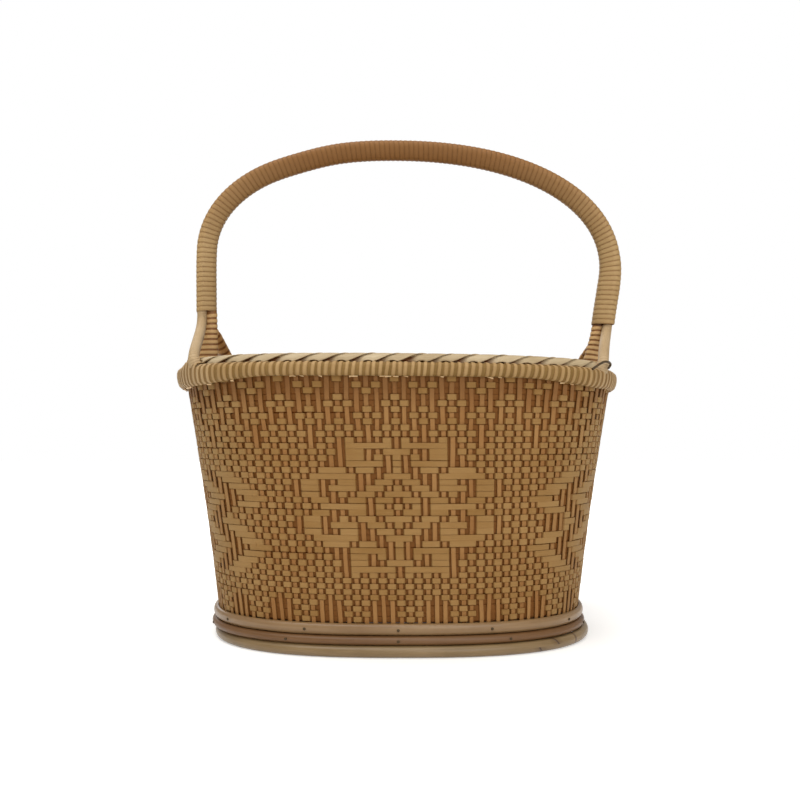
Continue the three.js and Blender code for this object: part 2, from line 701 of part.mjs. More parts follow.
for (const [side, end] of ENDS) {
  for (const [front, face] of FACES) {
    const leg = legCurve(side, front);
    const rings = rodWinding(leg, LEG_WINDING_START_SHARE, LEG_WINDING_END_SHARE, LEG_TURNS);
    addWinding('leg_winding_' + end + '_' + face, rings, ROD_STRIP_STEPS, PALE_STRIP);
  }
  const fork = besideArch(side < 0 ? 0 : 1, -bundleDepth / 2, 0);
  const post = smooth([
    besideArch(side < 0 ? 1 / ROD_ARCH_SAMPLES : 1 - 1 / ROD_ARCH_SAMPLES, -bundleDepth / 2, 0),
    fork,
    ...postPoints(side),
  ]);
  const heightShare = (height) => {
    let low = 0;
    let high = 1;
    while (high - low > 1e-4) {
      const middle = (low + high) / 2;
      if (post.getPointAt(middle).z > height) low = middle;
      else high = middle;
    }
    return low;
  };
  const rings = rodWinding(
    post,
    heightShare(forkHeight - POST_WINDING_TOP),
    heightShare(BASKET_HEIGHT + POST_WINDING_FOOT),
    POST_TURNS,
  );
  addWinding('post_winding_' + end, rings, ROD_STRIP_STEPS, STRIP);
}
console.log('least gap of a winding to itself, mm:', leastGap.toFixed(2));

// Wire: it starts low at the front of the leg, climbs round its outside and hooks down behind.
function wireLoop() {
  const leg = legCurve(1, -1);
  const legLength = leg.getLength();
  const seatHeight = legSeat(1, -1).z;
  const outward = ovalPlace(legSeatShare(1, -1)).outward;
  const across = outward.clone().cross(UP);
  const points = [];
  for (let i = 0; i <= WIRE_POINTS; i += 1) {
    const share = i / WIRE_POINTS;
    const turn = WIRE_REACH_ANGLE * (1 - 2 * share);
    const rise = WIRE_LOW + WIRE_RADIUS + WIRE_RISE * Math.sin(Math.PI * share ** 2);
    const beside = leg.getPointAt(1 - Math.max(0, rise - LEG_STRAIGHT) / legLength);
    points.push(beside.setZ(seatHeight + rise)
      .addScaledVector(outward, WIRE_LOOP_RADIUS * Math.cos(turn))
      .addScaledVector(across, WIRE_LOOP_RADIUS * Math.sin(turn)));
  }
  const outline = [];
  for (let i = 0; i < WIRE_SIDES; i += 1) {
    const angle = (2 * Math.PI * i) / WIRE_SIDES;
    outline.push(new THREE.Vector2(WIRE_RADIUS * Math.cos(angle), WIRE_RADIUS * Math.sin(angle)));
  }
  return new THREE.ExtrudeGeometry(new THREE.Shape(outline), {
    steps: WIRE_STEPS,
    extrudePath: new THREE.CatmullRomCurve3(points, false, 'centripetal'),
    bevelEnabled: false,
  });
}
add('tie_wire', wireLoop(), WIRE);

// The origin is the middle of the basket's footprint box, on the floor.
const box = new THREE.Box3().setFromObject(basket);
basket.position.set(-(box.min.x + box.max.x) / 2, -(box.min.y + box.max.y) / 2, -box.min.z);

export default basket;
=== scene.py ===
# %% [markdown]
# # A woven rattan basket with an arched handle
# The basket is an oval of flat cane strips: upright stakes and level wefts, with a lining behind
# them, three bent canes as a foot, a lashed and plaited rim, and a handle of three rods wound
# with strip. The solid model already holds every size, so this lesson loads it first and dresses
# it strip by strip. Lengths below are millimetres and become metres when a mesh is made.

# %% Load the fixed model
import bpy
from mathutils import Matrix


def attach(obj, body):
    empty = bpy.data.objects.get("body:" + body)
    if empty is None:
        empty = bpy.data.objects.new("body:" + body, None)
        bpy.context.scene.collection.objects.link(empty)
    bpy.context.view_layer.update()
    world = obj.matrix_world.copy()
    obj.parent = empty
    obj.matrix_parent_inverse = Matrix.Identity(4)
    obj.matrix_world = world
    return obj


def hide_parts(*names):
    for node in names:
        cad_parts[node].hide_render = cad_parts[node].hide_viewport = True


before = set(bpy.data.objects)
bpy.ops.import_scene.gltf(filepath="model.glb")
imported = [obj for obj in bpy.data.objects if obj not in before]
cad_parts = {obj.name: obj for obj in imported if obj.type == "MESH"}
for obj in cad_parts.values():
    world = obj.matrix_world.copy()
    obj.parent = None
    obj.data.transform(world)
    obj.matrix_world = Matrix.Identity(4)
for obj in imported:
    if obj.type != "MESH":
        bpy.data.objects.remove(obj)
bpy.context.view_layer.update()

# %% Tools of the lesson
import math
import bmesh
import bpy
import numpy as np
from mathutils import Matrix, Vector

MM = 0.001
chance = np.random.default_rng(11)
scene = bpy.context.scene
print("lengths are written in millimetres, one of them is", MM, "m")

# %% [markdown]
# ## The shape of the wall
# Seen from above the basket is a rounded oval, fuller at the corners than an ellipse. Every strip
# follows it, so the oval is walked once at an even pace, and each place is then found by its
# share of the way round, from the middle of the front towards the right. A place also has its
# outward direction, which moves a strip in or out. The wall leans out with height and is a little
# hollow in profile, as woven walls are. A basket made by hand isn't quite true either: its foot is
# a little long, and its rim is about three millimetres higher on the left than on the right.

# %% The oval and the lean of the wall
BASKET_X = -4.411
BASKET_MIDDLE = np.array([BASKET_X, 0.0, 0.0])
OVAL_HALF_LENGTH = 144.5
OVAL_HALF_WIDTH = 98.0
OVAL_SQUARENESS = 2.6
BASKET_HEIGHT = 212.8
RIM_FLARE = 31.1
WALL_HOLLOW = 1.8
FOOT_STRETCH = 0.012
RIM_TILT = -0.0095
TILT_START, TILT_RISE = 190.0, 15.0


def signed_power(value, power):
    return np.sign(value) * np.abs(value) ** power


turn = np.linspace(0, 2 * np.pi, 4801)
walk_x = OVAL_HALF_LENGTH * signed_power(np.sin(turn), 2 / OVAL_SQUARENESS)
walk_y = -OVAL_HALF_WIDTH * signed_power(np.cos(turn), 2 / OVAL_SQUARENESS)
slope_x = signed_power(walk_x / OVAL_HALF_LENGTH, OVAL_SQUARENESS - 1) / OVAL_HALF_LENGTH
slope_y = signed_power(walk_y / OVAL_HALF_WIDTH, OVAL_SQUARENESS - 1) / OVAL_HALF_WIDTH
steepness = np.hypot(slope_x, slope_y)
out_x, out_y = slope_x / steepness, slope_y / steepness
walked = np.concatenate([[0], np.cumsum(np.hypot(np.diff(walk_x), np.diff(walk_y)))])
oval_length = walked[-1]


def flare(height):
    """How far the wall's outer face lies outside the oval at a height."""
    share = height / BASKET_HEIGHT
    return RIM_FLARE * share - 4 * WALL_HOLLOW * share * (1 - share)


def round_oval(share, offset, height):
    """Points beside the oval: shares of the way round, moved out by offsets and up to heights."""
    way = np.mod(share, 1) * oval_length
    x = np.interp(way, walked, walk_x) + offset * np.interp(way, walked, out_x)
    y = np.interp(way, walked, walk_y) + offset * np.interp(way, walked, out_y)
    x = x * (1 + FOOT_STRETCH * (1 - height / BASKET_HEIGHT))
    height = height + RIM_TILT * x * np.clip((height - TILT_START) / TILT_RISE, 0, 1)
    return np.stack(np.broadcast_arrays(x, y, height), axis=-1)


def on_wall(share, offset, height):
    """Points at an offset from the wall's outer face."""
    return round_oval(share, flare(height) + offset, height)


print("once round the oval is", round(oval_length), "mm")

# %% [markdown]
# ## One tool for every strip
# Wefts, stakes, lashings and windings are all long flat ribbons that differ only in their path.
# Each ribbon starts as a grid, long one way and one or two cells wide, and a function then lays
# the grid along its path. One mesh holds many ribbons, because hundreds of objects would be slow.
# The UV map runs along the ribbon in centimetres, and across it from one whole number to the
# next, so a finish can tell the ribbons apart and find their edges.

# %% Lay ribbons along a path


def settle(mesh, shape, sharp):
    """Writes a bmesh back, shaded smooth apart from edges sharper than an angle in degrees."""
    shape.to_mesh(mesh)
    shape.free()
    mesh.shade_smooth()
    mesh.set_sharp_from_angle(angle=math.radians(sharp))


def add_object(name, data):
    made = bpy.data.objects.new(name, data)
    scene.collection.objects.link(made)
    return made


def lay_ribbons(name, ribbons, along, across, place, thickness=0.0, joined=False, sharp=50,
                depth=None):
    """Ribbons in one piece. place(ribbon, u, v) gives points in mm, with u along and v across."""
    shape = bmesh.new()
    shape.loops.layers.uv.new("ribbon")
    # the depth map marks where a strip lies sunk, and a finish paints shade there
    if depth:
        shape.loops.layers.uv.new("depth")
    for _ in range(ribbons):
        bmesh.ops.create_grid(shape, x_segments=along, y_segments=across, size=0.5)
    mesh = bpy.data.meshes.new(name)
    shape.to_mesh(mesh)
    shape.free()
    flat = np.empty(len(mesh.vertices) * 3)
    mesh.vertices.foreach_get("co", flat)
    flat = flat.reshape(ribbons, -1, 3)
    u, v = flat[:, :, 0] + 0.5, flat[:, :, 1] + 0.5
    ribbon = np.arange(ribbons)[:, None] + np.zeros(u.shape, int)
    points = place(ribbon, u, v) + BASKET_MIDDLE
    mesh.vertices.foreach_set("co", (points * MM).ravel())
    # the length walked along the middle of each ribbon becomes u of the map
    centre = place(ribbon, u, np.full_like(v, 0.5))
    order = np.argsort(u, axis=1, kind="stable")
    centre = np.take_along_axis(centre, order[:, :, None], axis=1)
    steps = np.linalg.norm(np.diff(centre, axis=1, prepend=centre[:, :1]), axis=2)
    length = np.empty_like(u)
    np.put_along_axis(length, order, np.cumsum(steps, axis=1) / 10, axis=1)
    corner = np.empty(len(mesh.loops), dtype=int)
    mesh.loops.foreach_get("vertex_index", corner)
    maps = {"ribbon": (length, ribbon + 0.02 + 0.96 * v)}
    if depth:
        maps["depth"] = (depth(ribbon, u, v), np.zeros_like(u))
    for map_name, pair in maps.items():
        uv = np.stack([pair[0].ravel(), pair[1].ravel()], axis=1)[corner]
        mesh.uv_layers[map_name].data.foreach_set("uv", uv.ravel())
    shape = bmesh.new()
    shape.from_mesh(mesh)
    if joined:
        bmesh.ops.remove_doubles(shape, verts=shape.verts, dist=1e-6)
    if thickness:
        bmesh.ops.solidify(shape, geom=shape.faces[:], thickness=thickness * MM)
    settle(mesh, shape, sharp)
    triangles = sum(len(p.vertices) - 2 for p in mesh.polygons)
    print(name, "has", ribbons, "ribbons and", triangles, "triangles")
    return add_object(name, mesh)


def finish_piece(piece, material, slot, *nodes):
    """Gives a piece its finish, ties it to the basket and hides the solids that it stands for."""
    piece.data.materials.append(material)
    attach(piece, "root")
    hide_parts(*nodes)


# %% [markdown]
# ## Finishes as sums
# A finish is a small network of nodes. Sums of masks read best as sums, so a class wraps a node's
# output and lets Python's operators add the Math nodes. Colours are blended with Mix nodes only,
# because a Math node would turn them grey. They are written as a screen shows them, from 0 to 255,
# and made linear when they reach a socket.

# %% Write shader maths as Python


class Signal:
    """A node output that can be added, multiplied and so on."""

    def __init__(self, finish, socket):
        self.finish = finish
        self.socket = socket

    def combine(self, operation, other, swapped=False):
        pair = (other, self) if swapped else (self, other)
        settings = {"operation": operation}
        return self.finish.node("ShaderNodeMath", settings, {0: pair[0], 1: pair[1]})

    def __add__(self, other):
        return self.combine("ADD", other)

    def __radd__(self, other):
        return self.combine("ADD", other, True)

    def __sub__(self, other):
        return self.combine("SUBTRACT", other)

    def __rsub__(self, other):
        return self.combine("SUBTRACT", other, True)

    def __mul__(self, other):
        return self.combine("MULTIPLY", other)

    def __rmul__(self, other):
        return self.combine("MULTIPLY", other, True)

    def __pow__(self, other):
        return self.combine("POWER", other)

    def absolute(self):
        return self.combine("ABSOLUTE", 0.0)

    def limited(self):
        """The same, kept between 0 and 1."""
        return self.finish.node("ShaderNodeClamp", {}, {0: self})


def paint(*colour):
    """A colour as a screen shows it, made linear for a shader."""
    def linear(value):
        value /= 255
        return value / 12.92 if value <= 0.04045 else ((value + 0.055) / 1.055) ** 2.4
    return tuple(linear(value) for value in colour) + (1.0,)


class Finish:
    """The nodes of a material, or of the world, under construction."""

    def __init__(self, owner):
        owner.use_nodes = True
        self.owner = owner
        self.tree = owner.node_tree

    def plug(self, socket, value):
        """Links a signal or sets a value. Three numbers are a colour from 0 to 255."""
        if isinstance(value, Signal):
            self.tree.links.new(value.socket, socket)
        elif isinstance(value, tuple) and len(value) == 3:
            socket.default_value = paint(*value)
        else:
            socket.default_value = value

    def node(self, kind, settings, sockets, output=0):
        """Any node: its type, its settings, its sockets' values or links, and the output wanted.

        A node that ends a network has no output, so nothing comes back from it.
        """
        made = self.tree.nodes.new(kind)
        for name, value in settings.items():
            setattr(made, name, value)
        for name, value in sockets.items():
            self.plug(made.inputs[name], value)
        return Signal(self, made.outputs[output]) if made.outputs else None

    def place(self, kind):
        """Where a point lies, by UV or by Object coordinates."""
        return self.node("ShaderNodeTexCoord", {}, {}, kind)

    def part(self, vector, axis):
        return self.node("ShaderNodeSeparateXYZ", {}, {0: vector}, axis)

    def noise(self, place, scale, detail, roughness=0.6):
        return self.node("ShaderNodeTexNoise", {}, {
            "Vector": place, "Scale": scale, "Detail": detail, "Roughness": roughness})

    def streaks(self, along, across, third, detail=4.0, roughness=0.6):
        """A noise that is drawn out by giving it unequal coordinates."""
        place = self.node("ShaderNodeCombineXYZ", {}, {0: along, 1: across, 2: third})
        return self.noise(place, 1.0, detail, roughness)

    def bump(self, strength, distance, height):
        return self.node("ShaderNodeBump", {}, {
            "Strength": strength, "Distance": distance, "Height": height})

    def blend(self, factor, first, second):
        """A colour between two colours."""
        settings = {"data_type": "RGBA"}
        return self.node("ShaderNodeMix", settings, {0: factor, 6: first, 7: second}, 2)

    def rays(self, *kinds):
        """1 for rays of any of these kinds, and 0 for others."""
        either = 0.0
        for kind in kinds:
            seen = self.node("ShaderNodeLightPath", {}, {}, f"Is {kind} Ray")
            either = seen.combine("MAXIMUM", either)
        return either

    def give(self, **sockets):
        """Fills sockets of the Principled shader, with underscores for the spaces in names."""
        shader = self.tree.nodes["Principled BSDF"]
        for name, value in sockets.items():
            self.plug(shader.inputs[name.replace("_", " ")], value)
        return self.owner


print("tan reads", [round(v, 3) for v in paint(166, 128, 84)])

# %% [markdown]
# ## The finish of split cane
# Split cane has long fibres, strips of slightly different tone, soft grey-brown patches from use
# and darker edges, partly dirt that settles there and partly painted shade where a strip rounds
# off beside its neighbour. The fibres are a noise drawn out along the strip's own UV
# map, the tone is a random number for each strip, and the patches lie on the object's own
# coordinates, so they run across neighbouring strips as real stains do.

# %% Split cane


def reached(finish, body, axis, start, full):
    """0 to 1 while one of the object's coordinates goes, either way, from start to full metres."""
    return ((finish.part(body, axis).absolute() - start) * (1 / (full - start))).limited()


def split_cane(name, dark, light, edge, tone=0.35, fibre=0.35, patch=0.4, gloss=0.2, edging=0.5,
               shine=0.2, seed=0.0, run=1.0, edge_power=6.0, sunk_shade=None, turning=(), root=None):
    """A cane strip: two tones, an edge colour, and how much strips, fibres and patches differ.

    sunk_shade is painted shade, the colour that a strip's sunken crossings take on.
    turning lists colours that it takes on along an axis: (colour, share, axis, start, full).
    root is painted shade on a covered first stretch, darker still near one edge, as (colour, start,
    length in cm).
    """
    finish = Finish(bpy.data.materials.new(name))
    place, body = finish.place("UV"), finish.place("Object")
    along, side = finish.part(place, 0), finish.part(place, 1)
    strip = side.combine("FLOOR", 0.0)
    across = side - strip
    strip_tone = finish.node(
        "ShaderNodeTexWhiteNoise", {"noise_dimensions": "1D"}, {"W": strip + seed}, "Value")
    fibres = finish.streaks(along * (0.35 * run), side * 9.0, strip * 0.37 + seed)
    hairs = finish.streaks(along * (1.1 * run), side * 34.0, strip * 0.71 + seed, 2.0, 0.5)
    patches = finish.noise(body, 26.0, 3.0, 0.55)
    edges = ((across - 0.5).absolute() * 2.0) ** edge_power
    shade = (
        0.5
        + (strip_tone - 0.5) * tone
        + (fibres - 0.5) * (fibre * 2.2)
        + (hairs - 0.5) * (fibre * 0.8)
        + (patches - 0.5) * (patch * 2.4)
    ).limited()
    colour = finish.blend(shade, dark, light)
    for other, share, axis, start, full in turning:
        colour = finish.blend(reached(finish, body, axis, start, full) * share, colour, other)
    # darker edges: partly dirt, partly painted shade where a strip rounds off against its neighbour
    # or the next turn
    colour = finish.blend((edges * edging).limited(), colour, edge)
    # painted shade on the root of a strand, where the strand beside it lies over it, darker still
    # near its upper edge
    if root:
        shadow, start, length = root
        covered = ((length - along) * 2.0).limited()
        beside_edge = ((across - start) * 8.0).limited()
        colour = finish.blend(covered * (0.7 + beside_edge * 0.3), colour, shadow)
    # painted shade: crossings that lie sunk, as the depth map tells, take a darker colour for the
    # shade in the recess
    if sunk_shade:
        sunk = finish.part(finish.node("ShaderNodeUVMap", {"uv_map": "depth"}, {}), 0)
        colour = finish.blend((sunk * 0.92).limited(), colour, sunk_shade)
    return finish.give(
        Base_Color=colour,
        Roughness=(0.72 - gloss * 0.35) + (fibres - 0.5) * 0.25,
        Normal=finish.bump(0.55, 0.00025, fibres * 0.5 + hairs * 0.35 - edges * 0.5),
        Coat_Weight=gloss * 0.25,
        Coat_Roughness=0.35,
        Specular_IOR_Level=shine,
    )


weave_cane = split_cane(
    "weave cane", (140, 101, 50), (166, 129, 79), (130, 88, 42), tone=0.4, fibre=0.4, edging=0.25,
    gloss=0.1, sunk_shade=(120, 72, 24),
    turning=[((166, 138, 92), 0.4, 0, 0.1, 0.15), ((134, 98, 48), 0.4, 2, 0.184, 0.196)])
stake_cane = split_cane(
    "stake cane", (142, 94, 46), (168, 126, 76), (122, 78, 34), tone=0.4, edging=0.3, gloss=0.1,
    seed=4.0, sunk_shade=(120, 70, 24),
    turning=[((160, 128, 80), 0.4, 0, 0.1, 0.15), ((112, 70, 32), 0.55, 2, 0.178, 0.194)])
lining_cane = split_cane(
    "lining cane", (114, 58, 14), (146, 84, 30), (84, 38, 8), tone=0.5, fibre=0.4, patch=0.6,
    gloss=0.0, shine=0.08, seed=9.0)
base_cane = split_cane(
    "base cane", (116, 78, 38), (160, 120, 70), (78, 44, 18), tone=0.6, fibre=0.45, edging=0.6,
    gloss=0.3, shine=0.35, seed=15.0)
handle_cane = split_cane(
    "handle strip", (162, 129, 80), (194, 163, 116), (122, 80, 34), tone=0.3, fibre=0.25, patch=0.3,
    edging=0.65, gloss=0.3, shine=0.25, seed=21.0, run=0.6, edge_power=3.0,
    turning=[((134, 88, 40), 0.92, 2, 0.32, 0.395)])
pale_cane = split_cane(
    "pale strip", (168, 139, 98), (200, 175, 139), (144, 112, 70), tone=0.3, fibre=0.3, gloss=0.3,
    shine=0.25, seed=27.0, run=0.6)
post_cane = split_cane(
    "post strip", (190, 150, 96), (222, 184, 130), (160, 114, 60), fibre=0.3, seed=29.0, run=0.6,
    edge_power=3.0)
# lighter and more orange than the other strips: partly the strip's own colour, partly painted
# bounce light on the shaded back legs
back_cane = split_cane(
    "back leg strip", (196, 148, 88), (216, 170, 110), (160, 112, 58), fibre=0.3, seed=31.0,
    run=0.6, edge_power=3.0)
lashing_cane = split_cane(
    "lashing strip", (152, 118, 70), (188, 154, 106), (134, 100, 52), edging=0.7, shine=0.25,
    seed=33.0, edge_power=2.5, turning=[((196, 170, 134), 0.6, 0, 0.135, 0.172)])
# painted shade: the sunken turns between the lashing are coloured darker for the shade in the gaps
shaded_lashing_ground = split_cane(
    "lashing ground strip", (118, 88, 42), (146, 114, 66), (104, 74, 32), tone=0.3, edging=0.4,
    gloss=0.1, seed=36.0, turning=[((150, 122, 86), 0.6, 0, 0.135, 0.172)])
# the strands' roots take on painted shade where the strand beside them covers them
border_cane = split_cane(
    "border strand", (160, 136, 98), (202, 183, 149), (128, 94, 54), tone=0.45, fibre=0.5,
    patch=0.5, gloss=0.3, shine=0.25, seed=39.0, root=((104, 56, 24), 0.5, 1.15))
# painted shade: the core behind the strands is dark so that the gaps between them read as shadow
shaded_border_core = split_cane(
    "border core", (92, 54, 24), (124, 80, 42), (60, 30, 10), tone=0.3, fibre=0.5, patch=0.5,
    edging=0.2, gloss=0.0, shine=0.1, seed=42.0)
# very pale: partly the ends' own pale colour, partly a painted highlight where they catch the light
highlit_bit_cane = split_cane(
    "loose end", (216, 176, 124), (242, 212, 166), (196, 152, 100), tone=0.5, fibre=0.4, seed=45.0)
print("split cane finishes:", len(bpy.data.materials))

# %% [markdown]
# ## The finish of whole cane
# The foot, the hoops and the handle's rods are whole or halved canes with their skin on. The skin
# is smooth and shines, with faint lengthwise streaks, and every stretch of cane has nodes: thin
# darker rings where leaves once grew. The nodes come from the distance along the cane in its UV
# map.

# %% Whole cane
NODE_SPACING = 23.0


def whole_cane(name, dark, light, node_colour, gloss=0.2, seed=0.0, scarf=None):
    """A cane with its skin. scarf is where two ends meet on a slant, in cm along the cane."""
    finish = Finish(bpy.data.materials.new(name))
    place = finish.place("UV")
    along, around = finish.part(place, 0), finish.part(place, 1)
    streaks = finish.streaks(along * 0.25, around * 16.0, seed)
    patches = finish.noise(finish.place("Object"), 18.0, 3.0)
    beat = ((along + seed * 3.1) * (2 * math.pi / NODE_SPACING)).combine("COSINE", 0.0)
    rings = ((beat - 0.9992) * 1600.0).limited()
    shade = (0.5 + (streaks - 0.5) * 1.0 + (patches - 0.5) * 1.1).limited()
    colour = finish.blend(shade, dark, light)
    colour = finish.blend(rings * 0.75, colour, node_colour)
    height = streaks * 0.25 + rings * 0.6
    if scarf:
        slant = (along - scarf + (around - 0.5) * 1.8).absolute()
        joint = (1.0 - slant * 9.0).limited()
        smudge = (1.0 - slant * 1.6).limited()
        colour = finish.blend(smudge * 0.55, colour, node_colour)
        colour = finish.blend(joint, colour, (58, 36, 22))
        height = height - joint * 1.5
    return finish.give(
        Base_Color=colour,
        Roughness=(0.55 - gloss * 0.25) + (streaks - 0.5) * 0.2,
        Normal=finish.bump(0.5, 0.0004, height),
        Coat_Weight=gloss * 0.5,
        Coat_Roughness=0.25,
        Specular_IOR_Level=0.4,
    )


foot_top_cane = whole_cane(
    "top foot cane", (120, 88, 52), (156, 126, 88), (92, 60, 32), gloss=0.55, seed=1.0)
foot_middle_cane = whole_cane(
    "middle foot cane", (100, 66, 32), (122, 87, 50), (76, 46, 20), gloss=0.3, seed=2.0)
foot_bottom_cane = whole_cane(
    "bottom foot cane", (114, 90, 54), (152, 126, 88), (90, 62, 34), gloss=0.5, seed=3.0,
    scarf=10.9)
rod_cane = whole_cane("handle rod", (94, 52, 16), (118, 70, 26), (74, 40, 14), gloss=0.1, seed=4.0)
post_rod_cane = whole_cane(
    "post rod", (124, 78, 34), (150, 102, 52), (90, 56, 24), gloss=0.1, seed=7.0)
hoop_cane = whole_cane("rim hoop", (104, 78, 36), (128, 100, 54), (80, 56, 26), seed=5.0)
band_cane = whole_cane("foot band", (112, 80, 44), (142, 106, 66), (80, 52, 26), seed=6.0)
print("with whole cane the finishes are", len(bpy.data.materials))

# %% [markdown]
# ## The camera
# The photograph looks level at the basket from about 0.7 m, a little below the rim. The lens
# follows from how the rim and the foot curve, and a small upward shift keeps the whole handle in
# the picture without tilting the camera, so upright strips stay upright.

# %% Set the camera
camera_data = bpy.data.cameras.new("camera")
camera_data.sensor_width = 36.0
camera_data.lens = 37.47
camera_data.shift_y = 0.04125
camera_data.clip_start = 0.01
camera = add_object("camera", camera_data)
camera.location = ((BASKET_X + 1.25) * MM, -0.708, 0.1634)
camera.rotation_euler = (math.radians(90), 0, 0)
scene.camera = camera
scene.view_settings.view_transform = "Standard"
print("the camera stands", round(-camera.location.y * 1000), "mm in front of the basket")

# %% [markdown]
# ## The draft of the weave
# A weave is drawn as a draft: for each crossing of an upright stake and a level weft it says which
# lies outside. Most of the wall is plain weave, over one and under one. The front and the back
# carry a stepped flower, the ends a zigzag of long floats, and open bands run along the top and
# the bottom. One table row stands for one weft of the flower, from its middle outwards, and the
# flower mirrors it up, down, left and right.

# %% Draw the draft
STAKES = 132
ROWS_BELOW = 19
ROWS_ABOVE = 21
FLOWER = (
    "WSWSWWWWWSW",
    "SWWSWWSSWWSW",
    "WWSWWSWSSWWS",
    "WSWWSWWWSWWS",
    "SWWSSWWSSWWS",
    "WWSSSWWWWWS",
    "WSSWWSWWWS",
    "WSWWWWSSS",
    "WSWSWWS",
    "WWSSWWS",
    "SWWWWWS",
)
ZIGZAG_COLUMN = 16
ZIGZAG_PEAKS = (1, -7)
ZIGZAG_BREAK = (-1, -2)
ZIGZAG_FLOATS = (-2, -3, -4)
TOP_BAND = (
    (12, 14, 16, 18, 21),
    (13, 17),
    (12, 15, 20),
    (14, 16, 19),
    (12, 15, 20),
    (13, 17),
)


def weft_outside(stake, row):
    """Whether the weft lies outside the stake at a crossing; row 0 is the middle of the flower."""
    column = abs((stake + STAKES // 4) % (STAKES // 2) - STAKES // 4)
    plain = (column + row) % 2 == 0
    if abs(row) < len(FLOWER) and column < len(FLOWER[abs(row)]):
        return FLOWER[abs(row)][column] == "W"
    if column >= ZIGZAG_COLUMN and -11 <= row <= 5:
        step = column - ZIGZAG_COLUMN - min(abs(row - peak) for peak in ZIGZAG_PEAKS)
        at_left = stake > STAKES // 2
        if not at_left and row in ZIGZAG_FLOATS and column < ZIGZAG_COLUMN + 4:
            return column == ZIGZAG_COLUMN and plain
        if step < 0 or (at_left and row in ZIGZAG_BREAK and step < 3):
            return plain
        return (step + 1) % 6 < 3
    if row >= 12:
        return row in TOP_BAND[stake % 6]
    if row == 11 and stake % 6 == 3:
        return False
    if row <= -16 and stake % 6 > 2:
        return False
    return plain


rows = np.arange(-ROWS_BELOW, ROWS_ABOVE + 1)
draft = np.array([[weft_outside(stake, row) for row in rows] for stake in range(STAKES)], float)
print("crossings:", draft.size, "of which the weft is outside at", int(draft.sum()))

# %% Where the stakes and the rows lie
FRONT_SPREAD = 0.045
STAKE_LEAN = -0.031
FLOWER_HEIGHT = 110.7
UPPER_ROW, LOWER_ROW = 4.36, 4.62
UPPER_PLAIN_ROW, LOWER_PLAIN_ROW = 4.30, 4.12


def stake_share(column, height):
    """A stake's share of the way round. Stakes stand wider at the broad sides and lean."""
    even = column / STAKES
    spread = even + FRONT_SPREAD * np.sin(4 * np.pi * even) / (4 * np.pi)
    return spread + STAKE_LEAN * (height - FLOWER_HEIGHT) / oval_length


def row_height(row):
    """Height of a row. Rows of the flower are a little taller than the others."""
    inside = np.clip(row, -10.5, 10.5)
    height = FLOWER_HEIGHT + inside * np.where(row > 0, UPPER_ROW, LOWER_ROW)
    return height + (row - inside) * np.where(row > 0, UPPER_PLAIN_ROW, LOWER_PLAIN_ROW)


lowest, highest = row_height(-ROWS_BELOW), row_height(ROWS_ABOVE)
print("the rows lie from", round(lowest), "to", round(highest), "mm")

# %% [markdown]
# ## The wefts
# A weft is a flat strip that runs level all the way round and steps out over a stake and in behind
# the next. Each crossing gets four points: two where the strip lies flat, one between them and one
# halfway through the step. Thickness comes last, from the solidify operator.

# %% Weave the wefts
WEFT_OUT, WEFT_IN = -0.05, -1.75
STRIP_THICKNESS = 0.6
weft_phase = np.array([-0.41, 0.0, 0.41, 0.5])
weft_drift = chance.normal(0, 0.2, (len(rows), 12))
row_room = row_height(rows + 0.5) - row_height(rows - 0.5)
weft_width = row_room * chance.uniform(0.91, 0.98, len(rows))


def eased_step(part):
    """0 to 1 with soft ends."""
    return part * part * (3 - 2 * part)


def smooth_noise(table, ribbon, u):
    """Values that wander slowly along each ribbon and come back to the start."""
    knots = u * table.shape[1]
    low = np.floor(knots).astype(int)
    a = table[ribbon, low % table.shape[1]]
    b = table[ribbon, (low + 1) % table.shape[1]]
    return a + (b - a) * eased_step(knots - low)


def weft_level(ribbon, u):
    """The column that a point of a weft has reached, and its level: 1 outside, 0 inside."""
    step = np.rint(u * STAKES * 4).astype(int)
    cell, phase = step // 4, step % 4
    here = draft[cell % STAKES, ribbon]
    ahead = draft[(cell + 1) % STAKES, ribbon]
    return cell + weft_phase[phase], np.where(phase == 3, (here + ahead) / 2, here)


def place_weft(ribbon, u, v):
    column, level = weft_level(ribbon, u)
    height = row_height(rows[ribbon]) + smooth_noise(weft_drift, ribbon, u % 1)
    height = height + (v - 0.5) * weft_width[ribbon]
    offset = WEFT_IN + (WEFT_OUT - WEFT_IN) * level
    return on_wall(stake_share(column, height), offset, height)


def weft_depth(ribbon, u, v):
    return 1 - weft_level(ribbon, u)[1]


wefts = lay_ribbons(
    "wefts", len(rows), STAKES * 4, 1, place_weft, STRIP_THICKNESS, joined=True, depth=weft_depth)
finish_piece(wefts, weave_cane, "weave", "wall_weave")

# %% [markdown]
# ## The stakes
# The stakes stand upright and do the opposite of the wefts: where the weft is outside, the stake
# is inside. They are narrower than their spacing, so the dark lining shows in the gaps beside
# them, and the crossings that lie sunk take on painted shade; together these draw the pattern.

# %% Set the stakes
STAKE_FOOT = 17.0
STAKE_WIDTH = 2.95
STAKE_OUT, STAKE_IN = -0.2, -1.25
stake_phase = np.array([-0.38, 0.38, 0.5])
stake_drift = chance.normal(0, 0.32, (STAKES, 7))
stake_width = STAKE_WIDTH * chance.uniform(0.9, 1.08, STAKES)
stake_steps = len(rows) * 3


def stake_inside(ribbon, u):
    """The row that a point of a stake has reached, and 1 where it lies inside a weft."""
    step = np.rint(u * stake_steps).astype(int)
    cell, phase = np.minimum(step // 3, len(rows) - 1), step % 3
    row = cell - ROWS_BELOW + np.where(step == stake_steps, 0.9, stake_phase[phase])
    here = draft[ribbon, cell]
    ahead = draft[ribbon, np.minimum(cell + 1, len(rows) - 1)]
    return row, np.where(phase == 2, (here + ahead) / 2, here)


